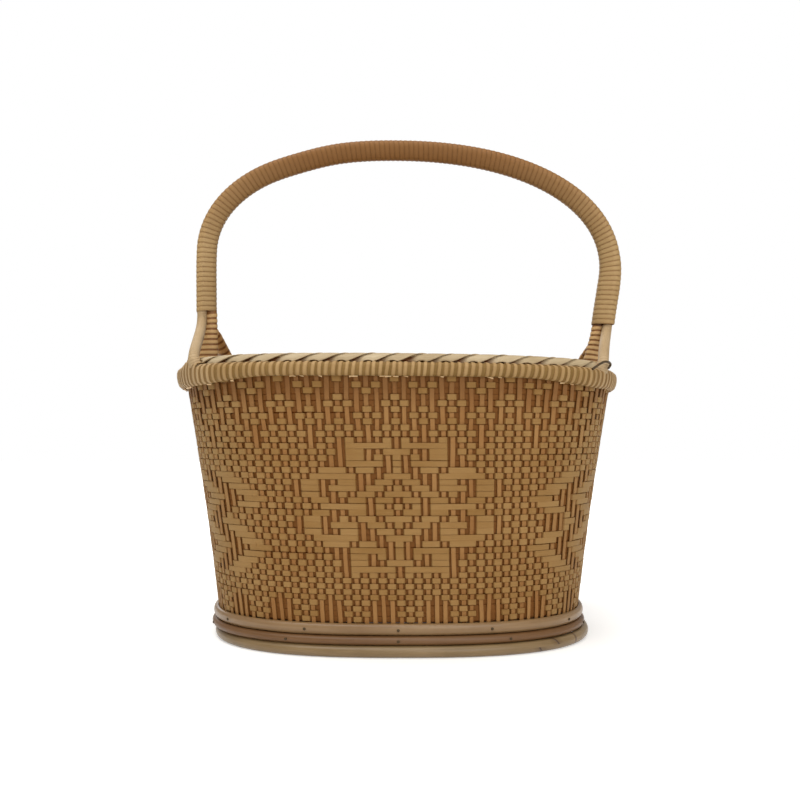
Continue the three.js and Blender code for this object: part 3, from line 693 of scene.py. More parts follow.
def stake_depth(ribbon, u, v):
    return stake_inside(ribbon, u)[1]


def place_stake(ribbon, u, v):
    row, inside = stake_inside(ribbon, u)
    height = np.where(u < 1e-6, STAKE_FOOT, row_height(row))
    aside = smooth_noise(stake_drift, ribbon, u * 0.98) + (0.5 - v) * stake_width[ribbon]
    offset = STAKE_OUT + (STAKE_IN - STAKE_OUT) * inside
    return on_wall(stake_share(ribbon, height) + aside / oval_length, offset, height)


stakes = lay_ribbons(
    "stakes", STAKES, stake_steps, 1, place_stake, STRIP_THICKNESS, depth=stake_depth)
finish_piece(stakes, stake_cane, "weave", "wall_weave")

# %% [markdown]
# ## The lining
# Behind the patterned wall stands a second, plain one of broad red-brown strips. It keeps small
# goods in and gives the pattern its dark ground. Its strips go over and under in an even wave, so
# a cosine of the crossing number does the weaving.

# %% Weave the lining
LINING_FOOT, LINING_TOP = 24.6, 208.0
LINING_UPRIGHTS, LINING_ROUNDS = 96, 24
lining_pitch = (LINING_TOP - LINING_FOOT) / LINING_ROUNDS
LINING_OUT, LINING_WAVE, LINING_THICKNESS = -2.45, 0.4, 0.34
UPRIGHT_STRIP, ROUND_STRIP = 0.98, 0.94


def lining_wave(column, row):
    return np.cos(np.pi * column) * np.cos(np.pi * row)


def place_lining_upright(ribbon, u, v):
    height = LINING_FOOT + u * (LINING_TOP - LINING_FOOT)
    wave = lining_wave(ribbon, u * LINING_ROUNDS - 0.5)
    share = (ribbon + UPRIGHT_STRIP * (0.5 - v)) / LINING_UPRIGHTS
    return on_wall(share, LINING_OUT - LINING_WAVE * (0.5 - 0.5 * wave), height)


def place_lining_round(ribbon, u, v):
    height = LINING_FOOT + lining_pitch * (ribbon + 0.5 + ROUND_STRIP * (v - 0.5))
    wave = lining_wave(u * LINING_UPRIGHTS, ribbon)
    return on_wall(u, LINING_OUT - LINING_WAVE * (0.5 + 0.5 * wave), height)


lining_uprights = lay_ribbons(
    "lining_uprights", LINING_UPRIGHTS, LINING_ROUNDS * 4, 1, place_lining_upright,
    LINING_THICKNESS)
lining_rounds = lay_ribbons(
    "lining_rounds", LINING_ROUNDS, LINING_UPRIGHTS * 4, 1, place_lining_round, LINING_THICKNESS,
    joined=True)
for piece in (lining_uprights, lining_rounds):
    finish_piece(piece, lining_cane, "lining", "wall_lining")

# %% [markdown]
# ## The base
# The base is a flat plain weave of broad strips that ends at the lining. Two sets of ribbons cross
# at right angles, and each is as long as the oval is wide where it lies. The base is a little
# squarer than the wall's oval, so that its corners reach the lining too.

# %% Weave the base
BASE_MIDDLE, BASE_WAVE, BASE_THICKNESS, BASE_PITCH = 26.2, 0.5, 0.9, 9.0
BASE_STRIP, BASE_EDGE = 0.94, 0.2
BASE_SQUARENESS = OVAL_SQUARENESS + 0.11
base_offset = flare(24.35) - 2.95
base_half_length = OVAL_HALF_LENGTH + base_offset
base_half_width = OVAL_HALF_WIDTH + base_offset


def base_strips(name, half_along, half_aside, steps, side):
    """One set of strips. side is 1 for strips along the basket and -1 for strips across it."""
    count = 2 * int(half_aside / BASE_PITCH - 0.05) + 1

    def place(ribbon, u, v):
        lane = ribbon - (count - 1) / 2
        aside = BASE_PITCH * (lane + side * BASE_STRIP * (v - 0.5))
        aside = np.clip(aside, BASE_EDGE - half_aside, half_aside - BASE_EDGE)
        left_over = np.maximum(1 - np.abs(aside / half_aside) ** BASE_SQUARENESS, 0)
        along = (2 * u - 1) * half_along * left_over ** (1 / BASE_SQUARENESS)
        wave = side * np.cos(np.pi * lane) * np.cos(np.pi * along / BASE_PITCH)
        height = BASE_MIDDLE + BASE_WAVE * wave
        return np.stack([along, aside, height] if side > 0 else [aside, along, height], axis=-1)
    strips = lay_ribbons(name, count, steps, 1, place, BASE_THICKNESS)
    finish_piece(strips, base_cane, "weave", "base_panel")


base_strips("base_long_strips", base_half_length, base_half_width, 128, 1)
base_strips("base_cross_strips", base_half_width, base_half_length, 88, -1)

# %% [markdown]
# ## The foot
# Three canes go round the foot: a pale one that the basket stands on, a darker one above it, and
# a half-round one that hides the lower ends of the stakes. Each is a ring swept round the oval:
# the grid's short way becomes the round section, and the two seams are merged.

# %% Bend the canes of the foot
MIDDLE_CANE, TOP_CANE = 12.3, 20.1


def cane_ring(name, section, steps=20, length=1.0, shift=0.0):
    """A cane bent round the oval. section(angle) gives its offset from the oval and its height."""
    def place(ribbon, u, v):
        ring = round_oval(u, *section(2 * np.pi * v))
        return ring * np.array([length, 1.0, 1.0]) + np.array([shift, 0.0, 0.0])
    return lay_ribbons(name, 1, 240, steps, place, joined=True, sharp=70)


def round_section(offset, half_width, height, half_height):
    def section(angle):
        return offset + half_width * np.cos(angle), height + half_height * np.sin(angle)
    return section


def top_section(angle):
    height = TOP_CANE + 4.35 * np.sin(angle)
    return flare(height) + 0.3 + 3.8 * np.maximum(np.cos(angle), 0) ** 0.8, height


bottom_cane = cane_ring(
    "foot_bottom_cane", round_section(4.38, 4.45, 4.4, 4.4), length=0.993, shift=2.8)
finish_piece(bottom_cane, foot_bottom_cane, "pale_cane", "foot_cane_bottom")
middle_cane = cane_ring("foot_middle_cane", round_section(3.73, 3.8, MIDDLE_CANE, 3.35))
finish_piece(middle_cane, foot_middle_cane, "red_cane", "foot_cane_middle")
top_cane = cane_ring("foot_top_cane", top_section)
finish_piece(top_cane, foot_top_cane, "pale_cane", "foot_cane_top")
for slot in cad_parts["foot_band"].material_slots:
    slot.material = band_cane

# %% [markdown]
# ## The rim
# A half-round hoop lies on each face of the wall's top edge, and a narrow strip lashes the two
# together with some two hundred turns. Between the turns lies a second set of turns, a little
# sunk, whose darker colour is painted shade of the gaps. At the ends of the oval the lashing is
# deeper and fuller, and beside each of the handle's legs it rises in a mound.

# %% Bend the hoops
HOOP_HEIGHT, HOOP_HALF_HEIGHT = 207.3, 4.3
HOOP_FRONT, HOOP_BACK = 2.1, 1.7
RIM_SHIFT = np.array([-1.3, 0.0, 0.0])


def end_share(share):
    """0 along the broad sides, 1 round the ends of the oval."""
    reach_along = np.abs(round_oval(share, 0.0, 0.0)[..., 0]) / OVAL_HALF_LENGTH
    return eased_step(np.clip((reach_along - 0.55) / 0.4, 0, 1))


def hoop(name, node, middle, side):
    """A half-round hoop on the outer face, for side 1, or the inner one, for side -1."""
    def place(ribbon, u, v):
        swell, angle = end_share(u), 2 * np.pi * v
        height = HOOP_HEIGHT - 1.4 * swell + (HOOP_HALF_HEIGHT + 1.6 * swell) * np.sin(angle)
        fullness = np.where(np.cos(angle) * side > 0, HOOP_FRONT + 0.6 * swell, HOOP_BACK)
        return on_wall(u, middle + fullness * np.cos(angle), height) + RIM_SHIFT
    piece = lay_ribbons(name, 1, 240, 14, place, joined=True, sharp=70)
    finish_piece(piece, hoop_cane, "pale_cane", node)


hoop("rim_outer_hoop", "rim_hoop_outer", 2.1, 1)
hoop("rim_inner_hoop", "rim_hoop_inner", -5.3, -1)

# %% Where the handle's legs stand
# each leg by its side, -1 for left, and by -1 for front or 1 for back
LEGS = ((-1, -1), (-1, 1), (1, -1), (1, 1))
LEG_SPREAD = dict(zip(LEGS, (79.0, 77.5, 77.0, 60.5)))
LEG_SEAT = {-1: RIM_FLARE + 2.15, 1: RIM_FLARE + 1.15}
LEG_BEND = dict(zip(LEGS, ((14.0, 9.0), (8.0, 6.0), (13.0, 12.0), (9.0, 11.0))))
LEG_STRAIGHT = dict(zip(LEGS, (0.0, -4.0, 8.0, 8.0)))
LEG_MOUND = dict(zip(LEGS, (5.0, 3.0, 1.0, 2.0)))
fine = np.linspace(0, 0.25, 4001)
seat_depth = -round_oval(fine, LEG_SEAT[-1], BASKET_HEIGHT)[:, 1]


def seat_share(side, front):
    """The share of a quarter of the oval at which a leg's foot stands."""
    return fine[np.argmin(np.abs(seat_depth - LEG_SPREAD[side, front]))]


def mound(share):
    """How far the lashing rises beside the legs, on the side towards the oval's end."""
    total = 0.0
    for (side, front), most in LEG_MOUND.items():
        stand = side * seat_share(side, front)
        stand = stand if front < 0 else 0.5 - stand
        beyond = -side * front * ((share - stand + 0.5) % 1 - 0.5) * oval_length
        total = total + most * np.interp(beyond, [-6.0, -1.0, 3.0, 16.0], [0.0, 1.0, 1.0, 0.0])
    return total


print("the legs stand", *LEG_SPREAD.values(), "mm from the middle plane")

# %% Lash the rim
LASHINGS = 188
LASHING_FOOT, LASHING_TOP = 203.5, BASKET_HEIGHT - 0.3
END_SWELL = 5.4
lashing_jitter = chance.normal(0, 0.18, LASHINGS)
lashing_slant = 0.9 + chance.normal(0, 0.2, LASHINGS)
# a turn's offset and its share of the height, up the outside, over the crest and down again
LASHING_PATH = np.array([
    (0.2, 0.05), (2.6, 0.0), (4.4, 0.12), (5.0, 0.32), (5.05, 0.55), (4.6, 0.76), (3.7, 0.9),
    (1.8, 0.99), (-1.5, 1.04), (-5.0, 1.04), (-7.2, 0.96), (-8.1, 0.78), (-8.35, 0.55),
    (-8.2, 0.32), (-7.6, 0.1), (-5.6, 0.0), (-3.3, 0.06),
])
CREST = 7.5
# how much of a mound each stretch of a turn takes on
MOUND_SHARE = ([4.0, 5.0, 6.0, 7.0, 9.0, 10.0, 11.0], [0.0, 0.15, 0.5, 1.0, 1.0, 0.4, 0.0])


def bulge(v):
    """0 at a ribbon's edges and 1 along its middle."""
    return 1 - (2 * v - 1) ** 2


def lashing_turn(shift, widths, sunk):
    """Turns round both hoops, moved along by a share of the spacing and sunk by millimetres."""
    def place(ribbon, u, v):
        spot = u * (len(LASHING_PATH) - 1)
        out, up = (np.interp(spot, np.arange(len(LASHING_PATH)), c) for c in LASHING_PATH.T)
        way = (ribbon + 0.5 + shift) * oval_length / LASHINGS
        way = way + lashing_jitter[ribbon] * (1 - shift)
        swell = end_share(way / oval_length)
        foot = LASHING_FOOT - END_SWELL * swell
        height = foot + (LASHING_TOP - foot) * up
        out = out * (1 + 0.04 * swell * (out > 0))
        lean = np.where(spot < CREST, up - 0.5, 0.5 - (spot - CREST) / 9.5)
        aside = lashing_slant[ribbon] * lean + (v - 0.5) * widths[ribbon]
        crown = 0.32 * bulge(v) - sunk
        out = out + np.where(spot < CREST, crown, -crown * (spot > 9.5))
        height = height + crown * ((spot > 6.0) & (spot < 11.0))
        height = height + mound(way / oval_length) * np.interp(spot, *MOUND_SHARE)
        return on_wall((way + aside) / oval_length, out, height) + RIM_SHIFT
    return place


lashing_width = 2.4 * chance.uniform(0.84, 1.12, LASHINGS)
lashing = lay_ribbons(
    "rim_lashing_strip", LASHINGS, 16, 2, lashing_turn(0.0, lashing_width, 0.0), 0.35)
finish_piece(lashing, lashing_cane, "strip", "rim_lashing")
# a second, sunken set of turns between the first, darker as painted shade
ground_width = np.full(LASHINGS, 2.9)
ground = lay_ribbons(
    "rim_lashing_ground", LASHINGS, 16, 1, lashing_turn(0.5, ground_width, 0.28), 0.3)
finish_piece(ground, shaded_lashing_ground, "strip", "rim_lashing")

# %% Let a few loose ends show
LOOSE_ENDS = 84
LOOSE_FOOT = 203.2
end_way = chance.uniform(0, 1, LOOSE_ENDS)
end_length = chance.uniform(1.8, 4.4, LOOSE_ENDS)
end_height = chance.uniform(1.0, 1.8, LOOSE_ENDS)
end_tilt = chance.normal(0, 0.25, LOOSE_ENDS)


def place_loose_end(ribbon, u, v):
    share = end_way[ribbon]
    aside = (u - 0.5) * end_length[ribbon]
    height = LOOSE_FOOT - END_SWELL * end_share(share) + (v - 0.5) * end_height[ribbon]
    height = height + aside * end_tilt[ribbon]
    return on_wall(share + aside / oval_length, 0.9 + 0.6 * bulge(v), height) + RIM_SHIFT


loose_ends = lay_ribbons("lashing_loose_ends", LOOSE_ENDS, 4, 2, place_loose_end, 0.3)
finish_piece(loose_ends, highlit_bit_cane, "strip", "rim_lashing")

# %% [markdown]
# ## The plaited border
# Along the top of the rim the ends of the stakes are folded down to the right, each over the next.
# One strand is a ribbon that comes out of the lashing, with painted shade on its first stretch,
# climbs over the root of the strand beside it and lies down along the top. A second row leans the
# other way on the inside.

# %% Fold the border
STRANDS = 46
STRAND_PHASE = 0.06
strand_jitter = chance.normal(0, 0.5, STRANDS * 2)
strand_tilt = chance.normal(0, 0.25, STRANDS * 2)
# how far ahead, then height and offset of the strand's lower edge and of its upper edge
STRAND_PATH = np.array([
    (-19.0, 212.9, 25.0, 214.4, 23.6), (-14.0, 212.7, 26.4, 216.6, 24.0),
    (-9.0, 213.1, 27.9, 218.3, 24.8), (-6.0, 214.2, 28.4, 219.0, 24.9),
    (-3.0, 214.4, 28.7, 219.2, 24.9), (-1.0, 213.4, 28.8, 219.4, 25.0),
    (1.5, 214.1, 28.8, 219.5, 25.1), (5.0, 215.6, 28.6, 219.6, 25.1),
    (8.0, 216.9, 28.2, 219.6, 25.0), (11.0, 218.2, 27.4, 219.6, 24.8),
    (14.0, 219.0, 26.4, 219.5, 24.2), (18.0, 218.9, 25.2, 219.2, 23.6),
    (23.0, 218.2, 24.4, 218.6, 23.0),
])


def border_strands(name, side, phase):
    """The outer row of strands, for side 1, or the inner one that leans the other way, for -1."""
    def place(ribbon, u, v):
        number = ribbon + (STRANDS if side < 0 else 0)
        ahead = STRAND_PATH[0, 0] + u * (STRAND_PATH[-1, 0] - STRAND_PATH[0, 0])
        low, low_offset, high, high_offset = (
            np.interp(ahead, STRAND_PATH[:, 0], c) for c in STRAND_PATH.T[1:])
        offset = low_offset + (high_offset - low_offset) * v + 0.8 * bulge(v)
        height = low + (high - low) * v + strand_tilt[number] * (u - 0.5)
        if side < 0:
            # the same row mirrored, narrower and lower
            offset, height = 22.2 + (28.8 - offset) * 0.75, height - 0.8
        way = (ribbon + phase) * oval_length / STRANDS + strand_jitter[number]
        return round_oval((way + side * ahead * 0.93) / oval_length, offset, height)
    return lay_ribbons(name, STRANDS, 30, 4, place, 1.0)


# a core ring behind the strands, whose dark colour is painted shade in the gaps
border_core = cane_ring("border_core", round_section(24.3, 1.5, 215.2, 1.9), 12)
finish_piece(border_core, shaded_border_core, "pale_strip", "rim_border")
outer_border = border_strands("border_outer_strands", 1, STRAND_PHASE)
inner_border = border_strands("border_inner_strands", -1, 0.5)
for piece in (outer_border, inner_border):
    finish_piece(piece, border_cane, "pale_strip", "rim_border")

# %% [markdown]
# ## The line of the handle
# The handle stands over the middle of the basket: a straight post on the left, an arch of two
# quarter ovals, and a post that leans in on the right. Every rod and winding follows this line,
# so it becomes a rail: a fine row of points with their distance, from which a place and its
# three directions can be read anywhere.

# %% Draw the rail of the handle
ROD_RADIUS = 3.7
ROD_SPACING = 7.8
BUNDLE_DEPTH = ROD_SPACING * math.cos(math.pi / 6)
FORK_HEIGHT = BASKET_HEIGHT + 49
CROWN_X, CROWN_HEIGHT = -6.8, BASKET_HEIGHT + 190.1
LEFT_POST_X, LEFT_DROP = -162.7, 90.0
RIGHT_POST_X, RIGHT_DROP, RIGHT_LEAN = 179.5, 101.8, 5.4
ARCH_SQUARENESS = 2.2
DENT_X, DENT_LENGTH, DENT_DEPTH = -86.0, 26.0, 1.3


def bend(p, gaps):
    """The direction of a smooth line at the middle one of three points."""
    return (p[1] - p[0]) / gaps[0] - (p[2] - p[0]) / (gaps[0] + gaps[1]) + (p[2] - p[1]) / gaps[1]


def curve_through(points, steps=40):
    """A smooth line through points, with knots spaced by the root of their distance."""
    points = np.asarray(points, float)
    points = np.vstack([2 * points[0] - points[1], points, 2 * points[-1] - points[-2]])
    line = []
    for i in range(1, len(points) - 2):
        p = points[i - 1:i + 3]
        gaps = np.maximum(np.sqrt(np.linalg.norm(np.diff(p, axis=0), axis=1)), 1e-6)
        a, b = bend(p[:3], gaps[:2]) * gaps[1], bend(p[1:], gaps[1:]) * gaps[1]
        t = np.linspace(0, 1, steps, endpoint=i == len(points) - 3)[:, None]
        rise = p[2] - p[1]
        line.append(p[1] + a * t + (3 * rise - 2 * a - b) * t ** 2 + (a + b - 2 * rise) * t ** 3)
    return np.vstack(line)


def step_lengths(points):
    return np.linalg.norm(np.diff(points, axis=0), axis=1)


class Rail:
    """A line in space that is read by the distance along it."""

    def __init__(self, points, outward=None):
        points = np.asarray(points, float)
        self.points = points[np.concatenate([[True], step_lengths(points) > 1e-6])]
        self.distance = np.concatenate([[0], np.cumsum(step_lengths(self.points))])
        self.length = self.distance[-1]
        along = np.gradient(self.points, self.distance, axis=0)
        self.along = along / np.linalg.norm(along, axis=1)[:, None]
        self.outward = outward

    def read(self, table, at):
        return np.stack([np.interp(at, self.distance, table[:, i]) for i in range(3)], axis=-1)

    def at(self, distance):
        """The point, and the directions out, aside and along, at a distance."""
        point = self.read(self.points, distance)
        along = self.read(self.along, distance)
        along /= np.linalg.norm(along, axis=-1, keepdims=True)
        if self.outward is None:
            out = np.stack([-along[..., 2], np.zeros_like(along[..., 0]), along[..., 0]], axis=-1)
        else:
            out = self.outward - (along @ self.outward)[..., None] * along
        out /= np.linalg.norm(out, axis=-1, keepdims=True)
        return point, out, np.cross(along, out), along


def quarter(post_x, drop, turns):
    """A quarter of the arch, from the crown down to a post."""
    across = np.abs(np.sin(turns)) ** (2 / ARCH_SQUARENESS)
    up = np.abs(np.cos(turns)) ** (2 / ARCH_SQUARENESS)
    x = CROWN_X + (post_x - CROWN_X) * across
    return np.stack([x, 0 * up, CROWN_HEIGHT - drop * (1 - up)], axis=-1)


turns = np.linspace(0, np.pi / 2, 15)
arch_line = curve_through(np.vstack([
    [[LEFT_POST_X, 0, FORK_HEIGHT]],
    quarter(LEFT_POST_X, LEFT_DROP, turns[:0:-1]),
    quarter(RIGHT_POST_X, RIGHT_DROP, turns),
    [[RIGHT_POST_X - RIGHT_LEAN, 0, FORK_HEIGHT]],
]))
arch_line[:, 2] -= DENT_DEPTH * np.exp(-((arch_line[:, 0] - DENT_X) / DENT_LENGTH) ** 2)
arch = Rail(arch_line)
print("the arch is", round(arch.length), "mm long from fork to fork")

# %% [markdown]
# ## Windings
# A winding is one ribbon that climbs round a rod or a bundle while it moves along it. Its grid is
# laid by angle and distance, with a raised middle so that each turn catches the light as a rib.
# For the bundle the ribbon follows the tight outline round three rods: an arc on each rod and a
# straight jump to the next.

# %% Tools for rods and windings
TURN_STEPS = 12


def beside(rail, distance, out, aside):
    point, outward, sideways, _ = rail.at(distance)
    return point + outward * np.asarray(out)[..., None] + sideways * np.asarray(aside)[..., None]


def rod(name, rail, radius=ROD_RADIUS, start=0.0, steps=160, sides=12, broad=None):
    """A round rod along a rail, or one that broad(rail, travel) makes broader to either side."""
    def place(ribbon, u, v):
        angle = 2 * np.pi * v
        travel = start + u * (rail.length - start)
        out = (radius + (broad(rail, travel) if broad else 0.0)) * np.cos(angle)
        return beside(rail, travel, out, radius * np.sin(angle))
    piece = lay_ribbons(name, 1, steps, sides, place, joined=True, sharp=70)
    shape = bmesh.new()
    shape.from_mesh(piece.data)
    bmesh.ops.holes_fill(shape, edges=[edge for edge in shape.edges if edge.is_boundary], sides=0)
    bmesh.ops.recalc_face_normals(shape, faces=shape.faces)
    settle(piece.data, shape, 60)
    return piece


def bundle_outline(step, radius):
    """The outline round three rods, in twelve steps a turn."""
    which = (step // 4) % 3
    angle = np.pi + which * 2 * np.pi / 3 + ((step % 4) - 1.5) * (2 * np.pi / 9)
    middle_out = np.where(which == 0, -BUNDLE_DEPTH / 2, BUNDLE_DEPTH / 2)
    middle_aside = np.array([0.0, -ROD_SPACING / 2, ROD_SPACING / 2])[which]
    return middle_out + radius * np.cos(angle), middle_aside + radius * np.sin(angle)


def winding(name, rails, start, end, pitch, width, radius, rib, thickness, bundle=False,
            swell=None, broad=None):
    """One ribbon wound round each rail, from start to end, given as distances along it."""
    turns_made = [max(1, int(round((stop - begin) / pitch))) for begin, stop in zip(start, end)]
    most = max(turns_made)

    def place(ribbon, u, v):
        points = np.empty(u.shape + (3,))
        for i, rail in enumerate(rails):
            step = np.rint(u[i] * most * TURN_STEPS).astype(int)
            travel = start[i] + u[i] * (end[i] - start[i]) + (v[i] - 0.5) * width
            grown = radius + rib * bulge(v[i]) + (swell(rail, travel) if swell else 0.0)
            if bundle:
                out, aside = bundle_outline(step + 5, grown)
            else:
                angle = 2 * np.pi * step / TURN_STEPS * turns_made[i] / most
                wide = grown + (broad(rail, travel) if broad else 0.0)
                out, aside = wide * np.cos(angle), grown * np.sin(angle)
            points[i] = beside(rail, np.clip(travel, 0, rail.length), out, aside)
        return points
    return lay_ribbons(name, len(rails), most * TURN_STEPS, 2, place, thickness, sharp=80)


print("one turn has", TURN_STEPS, "steps")

# %% Wind the handle
HANDLE_PITCH = 4.1
PAST_LEFT_FORK, PAST_RIGHT_FORK = 4.0, 12.0
LEFT_WRAP_END, RIGHT_WRAP_END = 2.6, -8.7
WRAP_GROWTH = ([0, 0.25, 0.5, 0.66, 0.8, 0.88, 0.93, 1], [0.1, 0, -0.1, 0.1, 0.2, 0.4, 1.2, 1.2])
left_end, right_end = arch.at(np.array(0.0)), arch.at(np.array(arch.length))
left_tip = left_end[0] - PAST_LEFT_FORK * left_end[3]
right_tip = right_end[0] + PAST_RIGHT_FORK * right_end[3]
wrap_rail = Rail(np.vstack([left_tip, arch.points, right_tip]))


def wrap_growth(rail, travel):
    """The wrap is thinnest at the crown and thickest on the right post."""
    return np.interp(travel / rail.length, *WRAP_GROWTH)


wrap_start = PAST_LEFT_FORK + LEFT_WRAP_END + HANDLE_PITCH / 2
wrap_stop = wrap_rail.length - PAST_RIGHT_FORK - RIGHT_WRAP_END - HANDLE_PITCH / 2
handle_winding = winding(
    "handle_winding_strip", [wrap_rail], [wrap_start], [wrap_stop], HANDLE_PITCH, 3.95,
    ROD_RADIUS + 0.85, 0.3, 0.35, bundle=True, swell=wrap_growth)
finish_piece(handle_winding, handle_cane, "strip", *[f"handle_winding_{i}" for i in range(1, 6)])

# %% [markdown]
# ## The three rods and their ends
# At each fork the rod on the inside of the arch goes straight down past the rim and on inside the
# basket, as a post. The two outer rods spread to the front and the back as legs and stand on the
# rim. The front legs are wound closely with narrow pale strip, the back legs and the posts with
# open turns that let the orange-brown rod show. Each rail starts a little above the fork, so that
# a winding can begin where the handle's own winding ends.

# %% Legs and posts
ABOVE_FORK = 24.0
LEG_SINK = 7.0
LEG_TUCK = 4.5
ANKLE = 4.0
LEG_EASE = 5.0
SEAT_HEIGHT = BASKET_HEIGHT + 0.3
ALONG_X = np.array([1.0, 0.0, 0.0])


def bezier(a, b, c, d, steps=80):
    t = np.linspace(0, 1, steps)[:, None]
    return a * (1 - t) ** 3 + 3 * b * t * (1 - t) ** 2 + 3 * c * t ** 2 * (1 - t) + d * t ** 3


def above_fork(side, out, aside):
    """The last stretch of one rod of the arch, down to the fork."""
    distance = np.linspace(ABOVE_FORK, 0, 5)
    return beside(arch, distance if side < 0 else arch.length - distance, out, aside)


def eased(points, reach):
    """The same line with its tight corners rounded, each point averaged over a reach in mm."""
    line = Rail(points)
    spots = np.linspace(0, line.length, int(line.length * 2))
    near_end = np.minimum(1.0, np.minimum(spots, line.length - spots) / reach)
    shifts = np.linspace(-0.9, 0.9, 13) * reach
    weights = 1 - np.abs(shifts) / reach
    near = line.read(line.points, spots[:, None] + near_end[:, None] * shifts)
    return (near * weights[:, None]).sum(axis=1) / weights.sum()


def leg_rail(side, front):
    above = above_fork(side, BUNDLE_DEPTH / 2, -front * ROD_SPACING / 2)
    down = arch.at(0.0 if side < 0 else arch.length)[3] * side
    seat = round_oval(seat_share(side, front), LEG_SEAT[side], SEAT_HEIGHT)
    height = seat[2] if side > 0 else 2 * SEAT_HEIGHT - seat[2]
    stand = np.array([side * seat[0], front * abs(seat[1]), height])
    ankle = stand + np.array([0, 0, ANKLE])
    high_bend, low_bend = LEG_BEND[side, front]
    turn = above[-1] + down * LEG_STRAIGHT[side, front]
    line = bezier(turn, turn + down * high_bend, ankle + np.array([0, 0, low_bend]), ankle)
    sunk = stand - np.array([side * LEG_TUCK, 0, LEG_SINK])
    return Rail(eased(np.vstack([above[:-1], line, sunk[None]]), LEG_EASE), ALONG_X)


POST_BEND = {
    -1: [(-160.9, 0, 244.0), (-162.0, 0, 230.0), (-162.6, 0, 220.0)],
    1: [(168.9, 0, 248.0), (166.6, 0, 237.0), (163.6, 0, 225.0)],
}
# inside the wall: the post's height, and how far it stands behind the wall's outer face
POST_STANDS = ((197.4, 12.7), (132.8, 7.2))


def post_rail(side):
    below = [(side * (OVAL_HALF_LENGTH + flare(height) - behind), 0, height)
             for height, behind in POST_STANDS]
    above = above_fork(side, -BUNDLE_DEPTH / 2, 0.0)
    return Rail(curve_through(np.vstack([above, POST_BEND[side] + below])), ALONG_X)


def post_broad(rail, travel):
    """The posts are flat, the left one most just above the rim and the right one further down."""
    at_rim, low = (5.0, 2.9) if rail is posts[-1] else (2.2, 4.4)
    return np.interp(travel, [ABOVE_FORK, ABOVE_FORK + 34, ABOVE_FORK + 60], [1.2, at_rim, low])


def back_broad(rail, travel):
    """The back legs are broad too, with a filling cane wound in."""
    middle = 3.2 if rail is legs[-1, 1] else 2.2
    return np.interp(travel, [ABOVE_FORK, ABOVE_FORK + 26, rail.length], [0.0, middle, 3.0])


legs = {leg: leg_rail(*leg) for leg in LEGS}
posts = {side: post_rail(side) for side in (-1, 1)}
whole_arch = np.linspace(0, arch.length, 400)
inner_line = Rail(beside(arch, whole_arch, -BUNDLE_DEPTH / 2, 0.0))
finish_piece(rod("handle_inner_rod", inner_line), rod_cane, "rod", "handle_rod_inner")
for front, name in ((-1, "front"), (1, "back")):
    line = Rail(beside(arch, whole_arch, BUNDLE_DEPTH / 2, -front * ROD_SPACING / 2))
    finish_piece(rod(f"handle_{name}_rod", line), rod_cane, "rod", f"handle_rod_{name}")
    for side, end in ((-1, "left"), (1, "right")):
        leg_rod = rod(f"leg_rod_{end}_{name}", legs[side, front], start=ABOVE_FORK - 1, steps=40,
                      broad=back_broad if front > 0 else None)
        finish_piece(leg_rod, post_rod_cane, "rod", f"handle_rod_{name}")
for side, end in ((-1, "left"), (1, "right")):
    post_rod = rod(f"post_rod_{end}", posts[side], start=ABOVE_FORK - 6.0, steps=60,
                   broad=post_broad)
    finish_piece(post_rod, post_rod_cane, "rod", "handle_rod_inner")

# %% Wind the legs and the posts
LEG_TOPS = [ABOVE_FORK - LEFT_WRAP_END - 4.0, ABOVE_FORK + 7.5]
POST_TOPS, POST_ENDS = [22.2, 33.0], [84.0, 84.0]


def foot_swell(rail, travel):
    """A leg's winding grows a little towards the rim, where it takes in the lashing."""
    from_rim = rail.length - LEG_SINK - travel
    return np.interp(from_rim, [-LEG_SINK, -2.0, 1.0, 8.0, 14.0], [-1.4, 0.4, 0.9, -0.2, -0.2])


front_legs = [legs[-1, -1], legs[1, -1]]
front_winding = winding(
    "leg_winding_front", front_legs, LEG_TOPS, [rail.length - 1.5 for rail in front_legs], 1.75,
    1.7, ROD_RADIUS + 0.5, 0.2, 0.3, swell=foot_swell)
finish_piece(front_winding, pale_cane, "pale_strip",
             "leg_winding_left_front", "leg_winding_right_front")
back_legs = [legs[-1, 1], legs[1, 1]]
back_winding = winding(
    "leg_winding_back", back_legs, LEG_TOPS, [rail.length - 4.0 for rail in back_legs], 8.2, 5.4,
    ROD_RADIUS + 0.3, 0.12, 0.25, swell=foot_swell, broad=back_broad)
finish_piece(back_winding, back_cane, "pale_strip",
             "leg_winding_left_back", "leg_winding_right_back")
post_winding = winding(
    "post_winding_strip", [posts[-1], posts[1]], POST_TOPS, POST_ENDS, 4.35, 2.8, ROD_RADIUS + 0.3,
    0.12, 0.25, broad=post_broad)
finish_piece(post_winding, post_cane, "strip", "post_winding_left", "post_winding_right")

# %% [markdown]
# ## Iron
# Small nails hold the top and middle canes to the band, and a loop of old wire is hooked round the
# foot of the front right leg. Both are dull, brown-black iron with a little rust.

# %% Iron finish and nail heads
iron_finish = Finish(bpy.data.materials.new("old iron"))
rust = iron_finish.noise(iron_finish.place("Object"), 700.0, 3.0)
rust_mask = ((rust - 0.5) * 3.0 + 0.4).limited()
iron = iron_finish.give(
    Base_Color=iron_finish.blend(rust_mask, (58, 44, 16), (84, 60, 26)),
    Metallic=0.2 - rust_mask * 0.15,
    Roughness=0.55 + rust_mask * 0.25,
    Normal=iron_finish.bump(0.4, 0.0002, rust),
)
NAIL_RADIUS = 1.15
NAIL_SQUASH = Matrix.Diagonal((1, 1, 0.6, 1))


